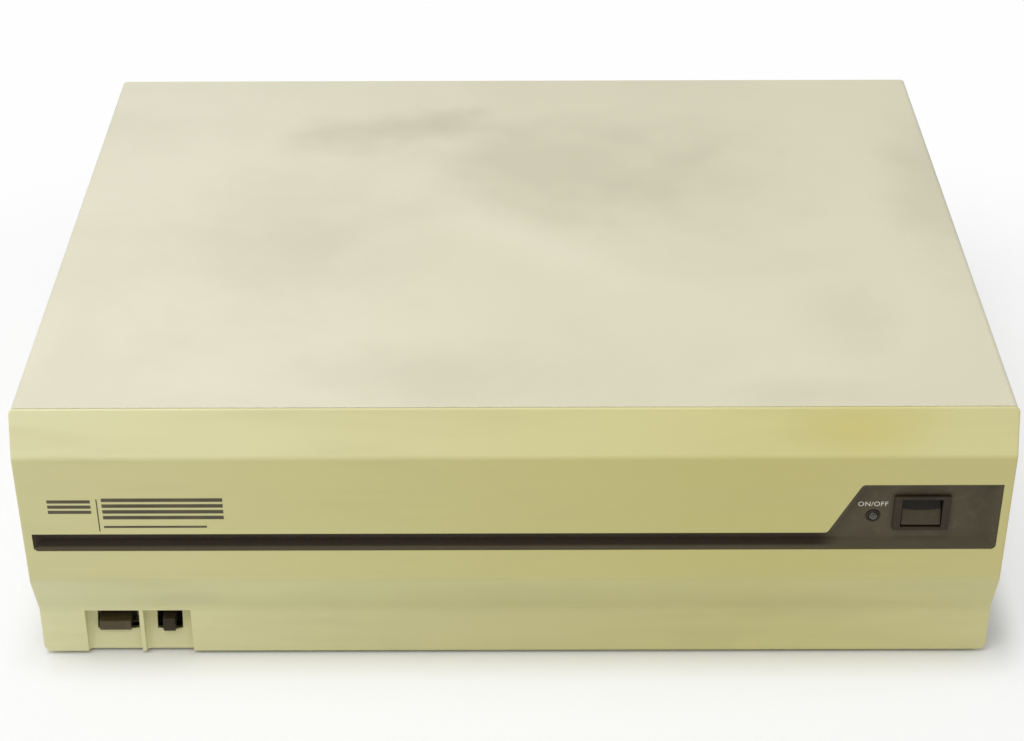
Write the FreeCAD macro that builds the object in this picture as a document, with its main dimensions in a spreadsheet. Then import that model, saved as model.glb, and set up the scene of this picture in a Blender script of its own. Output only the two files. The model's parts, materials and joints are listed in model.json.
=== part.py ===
"""A desktop home computer of the early 1980s: the main unit, as an assembly of separate pieces.

Frame: millimetres, X to the right seen from the front, front towards -Y, Z up, and the
floor at Z = 0 under the middle of the case.
"""
import FreeCAD, Part
import math
import os

import Sketcher

SIZES = {
    "case": {
        "case_width": 500.0,
        "case_depth": 402.0,
        "case_height": 160.0,
        "sheet_steel": 1.2,
        "fit_gap": 0.3,
        "overrun": 5.0,
    },
    "front bezel": {
        "bezel_overhang": 0.4,
        "bezel_foot_up": 2.2,
        "bezel_rim": 1.0,
        "bezel_round": 1.2,
        "chamfer_depth": 9.0,
        "chamfer_drop": 24.0,
        "face_setback": 4.8,
        "face_foot_share": 0.36875,
        "lower_setback": 18.0,
        "lower_foot_up": 30.0,
        "bezel_band": 9.0,
        "bezel_wall": 3.0,
        "bezel_lip": 8.0,
        "bezel_lip_wall": 2.0,
        "bezel_corner": 4.0,
        "bezel_boss_inset": 30.0,
        "bezel_boss_share": 0.41875,
        "bezel_boss_radius": 4.0,
        "bezel_boss_sink": 1.5,
        "seam_gap": 0.7,
    },
    "bays": {
        "bay_inset": 23.4,
        "socket_bay_wide": 28.6,
        "bay_rib": 2.1,
        "reset_bay_wide": 25.1,
        "bay_top": 28.9,
        "bay_deep": 10.0,
        "bay_foot_deep": 2.5,
        "bay_round": 2.2,
        "bay_wall": 2.5,
        "socket_hole_inset": 5.1,
        "reset_hole_inset": 6.1,
        "bay_hole_low": 13.0,
        "bay_hole_high": 24.0,
        "socket_hole_wide": 22.0,
        "reset_hole_wide": 13.4,
    },
    "trim panel": {
        "trim_inset": 5.0,
        "trim_low_share": 0.484375,
        "stripe_high_share": 0.551875,
        "panel_high_share": 0.740625,
        "flare_foot_inset": 91.2,
        "flare_head_inset": 75.4,
        "trim_gap": 0.15,
        "trim_wall": 1.2,
        "trim_recess": 3.6,
        "trim_floor": 1.8,
        "trim_sink": 0.3,
        "trim_ramp_up": 6.0,
        "trim_end_ramp": 7.0,
        "trim_start_ramp": 5.0,
        "trim_corner": 2.5,
    },
    "power switch": {
        "switch_inset": 44.2,
        "switch_up_share": 0.621875,
        "switch_frame_width": 28.4,
        "switch_frame_height": 21.4,
        "switch_frame_thick": 2.2,
        "rocker_width": 20.0,
        "rocker_radius": 8.4,
        "rocker_pivot_deep": 2.2,
        "rocker_crown": 3.2,
        "rocker_tilt": 22.0,
        "rocker_pin_radius": 1.2,
        "rocker_pin_long": 1.6,
        "pin_clearance": 0.05,
        "switch_body_deep": 20.0,
        "switch_body_side": 2.0,
        "switch_body_wall": 1.0,
        "terminal_long": 6.0,
        "terminal_wide": 4.8,
        "terminal_thick": 0.8,
    },
    "power light": {
        "light_inset": 68.4,
        "light_up_share": 0.605625,
        "light_radius": 2.5,
        "light_ring_radius": 3.65,
        "light_ring_proud": 0.8,
        "light_dome": 1.0,
        "light_long": 9.0,
        "light_socket_long": 7.0,
    },
    "top cover": {
        "cover_bend": 3.0,
        "cover_foot_up": 5.6,
        "vent_wide": 3.0,
        "vent_high": 34.0,
        "vent_pitch": 9.0,
        "vent_count": 12.0,
        "vent_first_share": 0.149,
        "vent_low": 60.0,
    },
    "base chassis": {
        "base_up": 4.0,
        "base_setback": 36.0,
        "base_front_share": 0.4625,
        "base_flange": 16.0,
        "board_window_margin": 5.0,
        "board_window_high": 33.0,
    },
    "rear panel": {
        "rear_inset": 10.0,
        "rear_fold": 12.0,
        "rear_screw_share": 0.22,
        "rear_screw_up": 12.0,
        "rear_flange_high": 18.0,
    },
    "feet": {
        "foot_radius": 11.0,
        "foot_flare": 1.0,
        "foot_inset": 35.0,
        "foot_front_setback": 61.0,
        "foot_rear_setback": 36.0,
        "foot_recess_radius": 5.0,
        "foot_recess_deep": 2.4,
    },
    "screws": {
        "screw_radius": 1.5,
        "hole_gap": 0.15,
        "screw_head_radius": 3.0,
        "screw_head_high": 1.6,
        "screw_long": 7.0,
        "cover_screw_setback": 81.0,
        "cover_screw_rear_setback": 51.0,
        "cover_screw_up": 14.0,
        "thumb_radius": 3.6,
        "thumb_high": 3.0,
    },
    "front board": {
        "board_thick": 1.6,
        "front_board_margin": 11.0,
        "front_board_high": 40.0,
        "front_board_low": 7.0,
    },
    "reset button": {
        "reset_wide": 6.4,
        "reset_high": 8.0,
        "reset_proud": 7.5,
        "reset_low": 13.4,
        "reset_long": 9.5,
        "reset_stem_radius": 1.2,
        "reset_stem_long": 4.8,
        "reset_body_wide": 12.0,
        "reset_body_deep": 4.2,
        "reset_bore_deep": 3.9,
    },
    "keyboard socket": {
        "tongue_wide": 16.5,
        "tongue_inset": 1.0,
        "tongue_high": 5.6,
        "tongue_proud": 6.3,
        "socket_wall": 1.2,
        "socket_base": 4.0,
        "contact_radius": 0.4,
        "contact_long": 3.0,
        "contact_pitch": 2.0,
        "contact_count": 7.0,
        "contact_inset": 3.6,
    },
    "main board": {
        "main_left_share": 0.452,
        "main_right_share": 0.19,
        "main_front_share": 0.311,
        "main_middle_share": 0.05,
        "main_rear_setback": 23.0,
        "standoff_high": 6.8,
        "standoff_radius": 3.0,
        "chip_high": 4.0,
        "chip_clear": 6.0,
        "bank_inset": 16.0,
        "memory_column_count": 4.0,
        "logic_column_count": 3.0,
        "chip_row_count": 8.0,
        "rom_long": 36.0,
        "rom_column_count": 3.0,
        "rom_row_count": 2.0,
        "chip_narrow": 7.6,
        "chip_wide": 15.2,
        "chip_short": 19.0,
        "chip_long": 52.0,
        "crystal_wide": 11.0,
        "crystal_high": 13.0,
        "crystal_deep": 4.6,
        "battery_radius": 8.0,
        "battery_long": 18.0,
        "battery_setback": 32.0,
        "plug_wide": 24.0,
        "plug_deep": 8.0,
        "plug_high": 12.0,
    },
    "card cage": {
        "cage_left_share": 0.472,
        "cage_right_share": 0.104,
        "cage_front_share": 0.0647,
        "cage_low": 24.0,
        "cage_headroom": 10.0,
        "cage_flange": 9.0,
        "slot_count": 6.0,
        "slot_first": 36.0,
        "slot_headroom": 14.0,
        "slot_hole_gap": 7.0,
        "slot_hole_inset": 12.0,
        "slot_cover_gap": 1.4,
        "slot_rib_high": 6.0,
        "slot_rib_deep": 0.8,
        "backplane_inset": 1.5,
        "guide_gap": 8.0,
        "guide_setback": 16.8,
        "guide_wide": 5.0,
        "guide_high": 6.0,
        "guide_groove": 2.0,
        "connector_long": 120.0,
        "connector_deep": 11.0,
        "connector_high": 9.0,
        "connector_slit": 2.4,
    },
    "power supply": {
        "psu_left_share": 0.216,
        "psu_right_share": 0.476,
        "psu_front_share": 0.0124,
        "psu_rear_gap": 6.8,
        "psu_high_share": 0.775,
        "psu_post_inset": 9.0,
        "psu_vent_wide": 60.0,
        "psu_vent_high": 3.0,
        "psu_vent_pitch": 9.0,
        "psu_vent_count": 7.0,
        "core_wide": 54.0,
        "core_deep": 46.0,
        "core_high": 44.0,
        "coil_wide": 34.0,
        "coil_proud": 8.0,
        "capacitor_radius": 12.5,
        "capacitor_high": 42.0,
        "capacitor_pitch": 28.0,
        "capacitor_count": 3.0,
        "psu_outlet_share": 0.525,
        "psu_outlet_inset": 5.5,
        "sink_wide": 70.0,
        "sink_high": 48.0,
        "sink_base": 3.0,
        "sink_fin": 1.5,
        "sink_fin_deep": 14.0,
        "sink_fin_count": 8.0,
    },
    "fan": {
        "fan_size": 80.0,
        "fan_deep": 25.0,
        "fan_across_share": 0.352,
        "fan_up_share": 0.25,
        "fan_rim": 2.5,
        "fan_hub_radius": 19.0,
        "fan_hub_deep": 18.0,
        "fan_blade_count": 7.0,
        "fan_blade_gap": 1.5,
        "fan_blade_run": 16.0,
        "fan_blade_rise": 9.0,
        "fan_blade_thick": 1.6,
        "fan_spoke": 5.0,
        "fan_back_thick": 3.0,
        "fan_shaft_radius": 2.0,
        "fan_screw_inset": 4.25,
        "fan_root_run": 10.0,
        "fan_root_rise": 14.0,
        "guard_thick": 2.0,
        "guard_bar": 2.0,
        "guard_step_share": 0.24,
        "guard_count": 3.0,
    },
    "power inlet": {
        "inlet_up": 31.0,
        "inlet_wide": 28.0,
        "inlet_high": 20.5,
        "inlet_deep": 24.0,
        "inlet_wall": 2.0,
        "inlet_flange_wide": 50.0,
        "inlet_flange_high": 24.0,
        "inlet_flange": 2.5,
        "inlet_mouth": 16.0,
        "pin_wide": 4.0,
        "pin_thick": 2.0,
        "pin_pitch": 7.0,
        "pin_lift": 2.0,
        "pin_long": 14.0,
    },
    "rear ports": {
        "port_up": 24.0,
        "serial_across_share": 0.11,
        "serial_flange_wide": 53.0,
        "serial_flange_high": 12.5,
        "serial_shell_wide": 38.4,
        "serial_shell_high": 8.4,
        "serial_slope": 1.4,
        "serial_proud": 5.6,
        "jack_half": 23.52,
        "jack_radius": 2.9,
        "jack_long": 4.6,
        "jack_bore": 1.25,
        "jack_bore_deep": 5.6,
        "port_behind": 12.0,
        "printer_across_share": 0.01,
        "printer_wide": 44.0,
        "printer_high": 14.0,
        "printer_mouth_high": 8.4,
        "printer_tongue": 3.2,
        "printer_tongue_inset": 3.6,
        "video_first_share": 0.06,
        "video_pitch_share": 0.06,
        "video_up": 58.0,
        "video_radius": 9.0,
        "video_bore": 7.0,
        "video_count": 3.0,
        "port_proud": 5.0,
        "port_mouth": 4.4,
    },
    "speaker": {
        "speaker_across_share": 0.32,
        "speaker_setback": 106.0,
        "speaker_radius": 28.5,
        "speaker_rim": 2.0,
        "speaker_waist": 13.0,
        "speaker_high": 12.0,
        "magnet_radius": 15.0,
        "magnet_high": 9.0,
        "speaker_hole": 3.0,
        "speaker_hole_ring": 14.0,
        "speaker_hole_count": 8.0,
    },
    "harness": {
        "harness_radius": 3.0,
        "harness_bend": 10.0,
        "harness_rise": 14.0,
    },
}


class Size:
    """A length or angle of the sheet: the formula that binds it, and its value now."""

    def __init__(self, formula, value):
        self.formula = formula
        self.value = float(value)

    def _joined(self, sign, other, value):
        return Size("(%s %s %s)" % (self.formula, sign, as_size(other).formula), value)

    def __add__(self, other):
        return self._joined("+", other, self.value + as_size(other).value)

    def __sub__(self, other):
        return self._joined("-", other, self.value - as_size(other).value)

    def __mul__(self, other):
        return self._joined("*", other, self.value * as_size(other).value)

    def __truediv__(self, other):
        return self._joined("/", other, self.value / as_size(other).value)

    def __neg__(self):
        return Size("(-1 * %s)" % self.formula, -self.value)


def as_size(number):
    """A plain count or zero, as a Size, so that both join in a formula."""
    return number if isinstance(number, Size) else Size(repr(number), number)


class Sheet:
    """The spreadsheet of driving dimensions; each is read by its name."""

    def __init__(self, document, groups):
        cells = document.addObject("Spreadsheet::Sheet", "Sizes")
        row = 1
        for group, values in groups.items():
            cells.set("A%d" % row, group)
            row += 1
            for name, value in values.items():
                cells.set("A%d" % row, name)
                cells.set("B%d" % row, str(value))
                cells.setAlias("B%d" % row, name)
                setattr(self, name, Size("Sizes.%s" % name, value))
                row += 1


doc = FreeCAD.newDocument("DesktopComputer")
size = Sheet(doc, SIZES)
ZERO = as_size(0)
nodes = []


def half(length):
    """Half of a size."""
    return length / 2


def twice(length):
    """A size taken two times."""
    return length * 2


def whole(count):
    """A count held in the sheet, as an integer."""
    return int(count.value)


def tangent(angle):
    """The tangent of an angle given in degrees."""
    return Size("tan(%s * 1 deg)" % angle.formula, math.tan(math.radians(angle.value)))


def lean_of(ratio):
    """The angle in degrees whose tangent is a ratio."""
    return Size("(atan(%s) / 1 deg)" % ratio.formula, math.degrees(math.atan(ratio.value)))


def round_about(centre, reach, index, count):
    """One of several equal steps on a circle, as a pair of sizes."""
    turn = 2 * math.pi * index / count.value
    angle = "(360 deg * %d / %s)" % (index, count.formula)
    east = Size("cos" + angle, math.cos(turn))
    north = Size("sin" + angle, math.sin(turn))
    return centre[0] + reach * east, centre[1] + reach * north


def bind(target, name, length):
    """Tie one property of an object to the sheet."""
    target.setExpression(name, length.formula)


def place(target, spot, axis=None, angle=ZERO):
    """Put an object at a spot made of sizes, turned about an axis by an angle."""
    values = [as_size(part) for part in spot]
    turn = FreeCAD.Rotation(axis, angle.value) if axis else FreeCAD.Rotation()
    target.Placement = FreeCAD.Placement(FreeCAD.Vector(*[v.value for v in values]), turn)
    for letter, value in zip("xyz", values):
        bind(target, "Placement.Base." + letter, value)
    if axis:
        bind(target, "Placement.Rotation.Angle", angle)
    return target


X_AXIS = FreeCAD.Vector(1, 0, 0)
Y_AXIS = FreeCAD.Vector(0, 1, 0)
TURNS = {
    "x": FreeCAD.Rotation(Y_AXIS, 90),
    "y": FreeCAD.Rotation(X_AXIS, -90),
    "z": FreeCAD.Rotation(),
}
QUARTER_TURN = 90
ELBOW_TURN = FreeCAD.Rotation(
    FreeCAD.Vector(-1, 0, 0), FreeCAD.Vector(0, 0, 1), FreeCAD.Vector(0, 1, 0), "XZY"
)
PARALLEL_SHARE = 0.999


def block(low, extent):
    """A box from its lowest corner and its width, depth and height."""
    box = doc.addObject("Part::Box", "Block")
    for name, length in zip(("Length", "Width", "Height"), extent):
        bind(box, name, as_size(length))
    return place(box, low)


def block_between(low, high):
    """A box from its lowest corner to its highest corner."""
    return block(low, [as_size(b) - a for a, b in zip(low, high)])


def rod(foot, radius, length, along="z"):
    """A cylinder that starts at its foot and runs along an axis."""
    cylinder = doc.addObject("Part::Cylinder", "Rod")
    bind(cylinder, "Radius", radius)
    bind(cylinder, "Height", length)
    place(cylinder, foot)
    spot = cylinder.Placement.Base
    cylinder.Placement = FreeCAD.Placement(spot, TURNS[along])
    for letter, value in zip("xyz", foot):
        bind(cylinder, "Placement.Base." + letter, as_size(value))
    return cylinder


def fused(*pieces):
    """One solid from several that touch."""
    if len(pieces) == 1:
        return pieces[0]
    union = doc.addObject("Part::MultiFuse", "Union")
    union.Shapes = list(pieces)
    union.Refine = True
    return union


def cut(base, *tools):
    """A piece with the tools taken away from it."""
    result = doc.addObject("Part::Cut", "Trimmed")
    result.Base = base
    result.Tool = fused(*tools)
    result.Refine = True
    return result


def group(pieces):
    """Several separate solids that make one node."""
    if len(pieces) == 1:
        return pieces[0]
    bundle = doc.addObject("Part::Compound", "Group")
    bundle.Links = list(pieces)
    return bundle


def node(name, part):
    """Name a finished sub-part; its label is its file's name."""
    part.Label = name
    nodes.append(part)
    return part


def new_body(name):
    """An empty body for a piece made of sketches and features."""
    return doc.addObject("PartDesign::Body", name)


def sketch_on(body, role, offset=ZERO):
    """A sketch on one of the body's origin planes, moved along that plane's normal."""
    plane = [item for item in body.Origin.OriginFeatures if item.Role == role][0]
    sketch = body.newObject("Sketcher::SketchObject", "Sketch")
    sketch.AttachmentSupport = [(plane, "")]
    sketch.MapMode = "FlatFace"
    offset = as_size(offset)
    sketch.AttachmentOffset = FreeCAD.Placement(
        FreeCAD.Vector(0, 0, offset.value), FreeCAD.Rotation()
    )
    bind(sketch, "AttachmentOffset.Base.z", offset)
    return sketch


def tie(sketch, kind, edge, point, length):
    """Hold one coordinate of a sketch point, or a radius, at a size."""
    if point is None:
        number = sketch.addConstraint(Sketcher.Constraint(kind, edge, length.value))
    else:
        number = sketch.addConstraint(Sketcher.Constraint(kind, edge, point, length.value))
    bind(sketch, "Constraints[%d]" % number, length)


def outline(sketch, corners):
    """A closed outline of straight sides whose corners are held at their sizes."""
    spots = [(as_size(across), as_size(up)) for across, up in corners]
    first = sketch.GeometryCount
    count = len(spots)
    vectors = [FreeCAD.Vector(across.value, up.value, 0) for across, up in spots]
    for index, start in enumerate(vectors):
        sketch.addGeometry(Part.LineSegment(start, vectors[(index + 1) % count]), False)
    for index in range(count):
        following = first + (index + 1) % count
        sketch.addConstraint(Sketcher.Constraint("Coincident", first + index, 2, following, 1))
    for index, (across, up) in enumerate(spots):
        tie(sketch, "DistanceX", first + index, 1, across)
        tie(sketch, "DistanceY", first + index, 1, up)
    return sketch


def rectangle(sketch, left, low, right, high):
    """A closed outline with four square corners."""
    return outline(sketch, [(left, low), (right, low), (right, high), (left, high)])


def ring(sketch, across, up, radius):
    """A circle held at a place and a radius."""
    across, up = as_size(across), as_size(up)
    centre = FreeCAD.Vector(across.value, up.value, 0)
    circle = Part.Circle(centre, FreeCAD.Vector(0, 0, 1), radius.value)
    number = sketch.addGeometry(circle, False)
    tie(sketch, "DistanceX", number, 3, across)
    tie(sketch, "DistanceY", number, 3, up)
    tie(sketch, "Radius", number, None, radius)
    return sketch


def extrude(kind, sketch, length, middle, back):
    """Pad or pocket a sketch, to both sides of it when `middle` is set."""
    body = sketch.getParent()
    feature = body.newObject("PartDesign::" + kind, kind)
    feature.Profile = sketch
    feature.SideType = "Symmetric" if middle else "One side"
    bind(feature, "Length", length)
    feature.Reversed = back
    return feature


def pad(sketch, length, middle=False, back=False):
    """Grow a sketch into a solid, along its normal unless `back` is set."""
    return extrude("Pad", sketch, length, middle, back)


def pocket(sketch, length, middle=False, back=False):
    """Cut a sketch into the body, against its normal unless `back` is set."""
    return extrude("Pocket", sketch, length, middle, back)


def revolve(sketch, axis, kind="Revolution"):
    """Turn a sketch once round one of its own axes."""
    feature = sketch.getParent().newObject("PartDesign::" + kind, kind)
    feature.Profile = sketch
    feature.ReferenceAxis = (sketch, [axis])
    feature.Angle = 360
    return feature


def row_of(body, feature, role, length, count):
    """Repeat a feature at equal steps along an origin axis, over a whole length."""
    axis = [item for item in body.Origin.OriginFeatures if item.Role == role][0]
    pattern = body.newObject("PartDesign::LinearPattern", "Row")
    pattern.Originals = [feature]
    pattern.Direction = (axis, [""])
    bind(pattern, "Length", length)
    bind(pattern, "Occurrences", count)
    body.Tip = pattern
    return pattern


def round_edges(body, radius, wanted):
    """Round every edge of the body that the test picks."""
    doc.recompute()
    base = body.Tip
    names = ["Edge%d" % (i + 1) for i, edge in enumerate(base.Shape.Edges) if wanted(edge)]
    feature = body.newObject("PartDesign::Fillet", "Rounded")
    feature.Base = (base, names)
    bind(feature, "Radius", radius)
    return feature


def runs_along(edge, axis):
    """Whether a straight edge runs along an axis."""
    if edge.Curve.TypeId != "Part::GeomLine":
        return False
    return abs(edge.Curve.Direction.dot(axis)) > PARALLEL_SHARE


def corner_edge(across, level):
    """A test that picks the edges along Y at both ends of a width and at one height."""

    def wanted(edge):
        spot = edge.CenterOfMass
        at_side = abs(abs(spot.x) - across.value) < size.hole_gap.value
        at_level = abs(spot.z - level.value) < size.hole_gap.value
        return runs_along(edge, Y_AXIS) and at_side and at_level

    return wanted


# Planes and lines that several pieces share.

side_x = half(size.case_width)
nose_y = -half(size.case_depth)
rear_y = half(size.case_depth)
seam_y = nose_y + size.chamfer_depth
face_foot_y = nose_y + size.face_setback
face_foot_up = size.case_height * size.face_foot_share
lower_foot_y = nose_y + size.lower_setback
nose_up = size.case_height - size.chamfer_drop
cover_half = side_x - size.bezel_overhang
cover_inside = cover_half - size.sheet_steel
cover_underside = size.case_height - size.sheet_steel
cover_screw_front = nose_y + size.cover_screw_setback
cover_screw_rear = rear_y - size.cover_screw_rear_setback
vent_first = size.case_depth * size.vent_first_share
panel_back = rear_y - size.rear_inset
panel_front = panel_back - size.sheet_steel
panel_top = cover_underside - size.fit_gap
rear_screw_across = size.case_width * size.rear_screw_share

base_half = cover_inside - twice(size.fit_gap)
base_top = size.base_up + size.sheet_steel
base_front = nose_y + size.base_setback
base_front_high = size.case_height * size.base_front_share
foot_across = side_x - size.foot_inset
foot_front = nose_y + size.foot_front_setback
foot_rear = rear_y - size.foot_rear_setback
board_up = base_top + size.standoff_high
board_top = board_up + size.board_thick

bezel_boss_across = side_x - size.bezel_boss_inset
bezel_boss_up = size.case_height * size.bezel_boss_share
bay_left = size.bay_inset - side_x
bay_rib_left = bay_left + size.socket_bay_wide
bay_right = bay_rib_left + size.bay_rib + size.reset_bay_wide
bay_foot = lower_foot_y + size.bay_foot_deep
bay_back = lower_foot_y + size.bay_deep
bay_rear = bay_back + size.bay_wall
socket_hole_left = bay_left + size.socket_hole_inset
socket_hole_right = socket_hole_left + size.socket_hole_wide
reset_hole_left = bay_rib_left + size.bay_rib + size.reset_hole_inset
reset_hole_right = reset_hole_left + size.reset_hole_wide
board_window_left = bay_left - size.board_window_margin
board_window_right = bay_right + size.board_window_margin
front_board_left = bay_left - size.front_board_margin
front_board_right = bay_right + size.front_board_margin
front_board_face = base_front + size.sheet_steel
reset_across = half(reset_hole_left + reset_hole_right)
reset_up = size.reset_low + half(size.reset_high)
reset_front = bay_back - size.reset_proud
reset_back = reset_front + size.reset_long

trim_half = side_x - size.trim_inset
trim_low = size.case_height * size.trim_low_share
stripe_high = size.case_height * size.stripe_high_share
panel_high = size.case_height * size.panel_high_share
flare_foot = side_x - size.flare_foot_inset
flare_head = side_x - size.flare_head_inset
switch_across = side_x - size.switch_inset
switch_up = size.case_height * size.switch_up_share
switch_half = half(size.rocker_width) + size.fit_gap + size.switch_body_side
switch_half_up = size.rocker_radius + size.fit_gap + size.switch_body_wall
light_across = side_x - size.light_inset
light_up = size.case_height * size.light_up_share

main_left = -(size.case_width * size.main_left_share)
main_right = size.case_width * size.main_right_share
main_front = -(size.case_depth * size.main_front_share)
main_middle = -(size.case_depth * size.main_middle_share)
main_rear = rear_y - size.main_rear_setback
cage_left = -(size.case_width * size.cage_left_share)
cage_right = -(size.case_width * size.cage_right_share)
cage_front = size.case_depth * size.cage_front_share
cage_high = size.case_height - size.cage_headroom
slot_pitch = (cage_high - size.slot_first - size.slot_headroom) / (size.slot_count - 1)
slot_hole_high = slot_pitch - size.slot_hole_gap
slot_cover_high = slot_pitch - size.slot_cover_gap

fan_front = panel_front - size.fan_deep
fan_across = size.case_width * size.fan_across_share
inlet_top = size.inlet_up + half(size.inlet_flange_high)
fan_room = panel_top - inlet_top - size.fan_size
fan_up = inlet_top + fan_room * size.fan_up_share + half(size.fan_size)
fan_bore = half(size.fan_size) - size.fan_rim
fan_blade_reach = fan_bore - size.fan_blade_gap
fan_screw_half = half(size.fan_size) - size.fan_screw_inset
guard_step = fan_bore * size.guard_step_share
psu_left = size.case_width * size.psu_left_share
psu_right = size.case_width * size.psu_right_share
psu_front = size.case_depth * size.psu_front_share
psu_rear = fan_front - size.psu_rear_gap
psu_high = size.case_height * size.psu_high_share
psu_outlet_up = size.case_height * size.psu_outlet_share
psu_outlet_radius = fan_bore - size.psu_outlet_inset

inlet_across = fan_across
serial_across = size.case_width * size.serial_across_share
printer_across = -(size.case_width * size.printer_across_share)
video_first = -(size.case_width * size.video_first_share)
video_pitch = size.case_width * size.video_pitch_share
speaker_across = size.case_width * size.speaker_across_share
speaker_back = nose_y + size.speaker_setback


def face_slope():
    """How far the front face leans back for each millimetre down, as a ratio."""
    return size.face_setback / (nose_up - face_foot_up)


def face_at(up):
    """The depth of the front face at a height on it."""
    return nose_y + face_slope() * (nose_up - up)


face_lean = lean_of(face_slope())


def front_line(step):
    """The corners of the front, top to foot, moved back by a step."""
    return [
        (nose_y + step, nose_up),
        (face_foot_y + step, face_foot_up),
        (lower_foot_y + step, size.lower_foot_up),
    ]


def trim_outline(grow):
    """The stripe that flares into the switch panel, grown on all sides."""
    return [
        (-trim_half - grow, trim_low - grow),
        (trim_half + grow, trim_low - grow),
        (trim_half + grow, panel_high + grow),
        (flare_head - grow, panel_high + grow),
        (flare_foot - grow, stripe_high + grow),
        (-trim_half - grow, stripe_high + grow),
    ]


def trim_corner_edge(edge):
    """Whether an edge runs from front to back at a low corner or a knee of the stripe."""
    spot = edge.CenterOfMass
    near = half(size.trim_wall).value
    corners = ((-trim_half, trim_low), (trim_half, trim_low), (flare_head, panel_high),
               (flare_foot, stripe_high))
    misses = [max(abs(spot.x - x.value), abs(spot.z - z.value)) for x, z in corners]
    return runs_along(edge, Y_AXIS) and min(misses) < near


def front_bezel():
    """The moulded front: a bevelled band, a lip under the cover, bays and screw bosses."""
    body = new_body("FrontBezel")
    foot = size.bezel_foot_up
    band = sketch_on(body, "YZ_Plane")
    outline(
        band,
        [(seam_y, size.case_height), (seam_y - size.bezel_rim, size.case_height)]
        + front_line(ZERO)
        + [(lower_foot_y, foot), (lower_foot_y + size.bezel_band, foot)]
        + front_line(size.bezel_band)[::-1],
    )
    pad(band, size.case_width, middle=True)
    round_edges(body, size.bezel_corner, corner_edge(side_x, foot))
    round_edges(body, size.cover_bend, corner_edge(side_x, size.case_height))
    lip = sketch_on(body, "YZ_Plane")
    rear = front_line(size.bezel_band + size.bezel_lip)
    inner = front_line(half(size.bezel_band))
    lip_foot = foot + size.bezel_corner
    outline(
        lip,
        [(seam_y - half(size.bezel_rim), panel_top)]
        + inner
        + [(inner[-1][0], lip_foot), (rear[-1][0], lip_foot)]
        + rear[::-1]
        + [(seam_y + size.bezel_lip, panel_top)],
    )
    lip_half = cover_inside - size.fit_gap
    pad(lip, twice(lip_half), middle=True)
    bend = size.cover_bend - size.sheet_steel
    round_edges(body, bend, corner_edge(lip_half, panel_top))
    room = sketch_on(body, "YZ_Plane")
    inside = front_line(size.bezel_wall)
    room_top = panel_top - size.bezel_lip_wall
    outline(
        room,
        [(seam_y - size.bezel_rim + size.bezel_wall, room_top)]
        + inside
        + [
            (inside[-1][0], foot + size.bezel_wall),
            (base_front, foot + size.bezel_wall),
            (base_front, room_top),
        ],
    )
    pocket(room, twice(lip_half - size.bezel_lip_wall), middle=True)
    add_bays(body)
    window = sketch_on(body, "XZ_Plane", -(lower_foot_y - size.bezel_wall))
    outline(window, trim_outline(size.trim_gap))
    pocket(window, size.lower_setback, back=True)
    round_edges(body, size.trim_corner, trim_corner_edge)
    bosses = sketch_on(body, "XZ_Plane", -base_front)
    for side in (-1, 1):
        ring(bosses, bezel_boss_across * side, bezel_boss_up, size.bezel_boss_radius)
    wall_back = face_at(bezel_boss_up) + size.bezel_wall
    pad(bosses, base_front - wall_back + size.bezel_boss_sink)
    bores = sketch_on(body, "XZ_Plane", -base_front)
    for side in (-1, 1):
        bore_radius = size.screw_radius + size.hole_gap
        ring(bores, bezel_boss_across * side, bezel_boss_up, bore_radius)
    pocket(bores, size.screw_long, back=True)

    def end_edge(edge):
        spot = edge.CenterOfMass
        on_end = abs(abs(spot.x) - side_x.value) < size.fit_gap.value
        return on_end and spot.y < face_foot_y.value

    round_edges(body, size.bezel_round, end_edge)
    return node("front_bezel", body)


def add_bays(body):
    """Two bays whose back wall slants in toward the top, each with a hole for its piece."""
    foot, top = size.bezel_foot_up, size.bay_top
    shell = sketch_on(body, "YZ_Plane", bay_right + size.bay_wall)
    outline(
        shell,
        [
            (lower_foot_y, foot),
            (bay_foot + size.bay_wall, foot),
            (bay_rear, top),
            (bay_rear, top + size.bay_wall),
            (lower_foot_y, top + size.bay_wall),
        ],
    )
    pad(shell, bay_right - bay_left + twice(size.bay_wall), back=True)
    slant = (bay_back - bay_foot) / (top - foot)
    ahead = nose_y - size.overrun
    spans = ((bay_right, size.reset_bay_wide), (bay_rib_left, size.socket_bay_wide))
    for right, wide in spans:
        room = sketch_on(body, "YZ_Plane", right)
        outline(
            room,
            [
                (ahead, foot - size.overrun),
                (bay_foot - slant * size.overrun, foot - size.overrun),
                (bay_back, top),
                (ahead, top),
            ],
        )
        pocket(room, wide)
    left_walls = (bay_left, bay_rib_left + size.bay_rib)

    def deep_corner(edge):
        spot = edge.CenterOfMass
        if edge.Curve.TypeId != "Part::GeomLine":
            return False
        at_wall = min(abs(spot.x - wall.value) for wall in left_walls) < size.hole_gap.value
        lean = edge.Curve.Direction
        return at_wall and min(abs(lean.y), abs(lean.z)) > half(slant).value

    round_edges(body, size.bay_round, deep_corner)
    holes = sketch_on(body, "XZ_Plane", -(bay_rear + size.overrun))
    low, high = size.bay_hole_low, size.bay_hole_high
    rectangle(holes, socket_hole_left, low, socket_hole_right, high)
    rectangle(holes, reset_hole_left, low, reset_hole_right, high)
    pocket(holes, size.bay_deep + size.bay_wall + twice(size.overrun), back=True)


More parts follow.
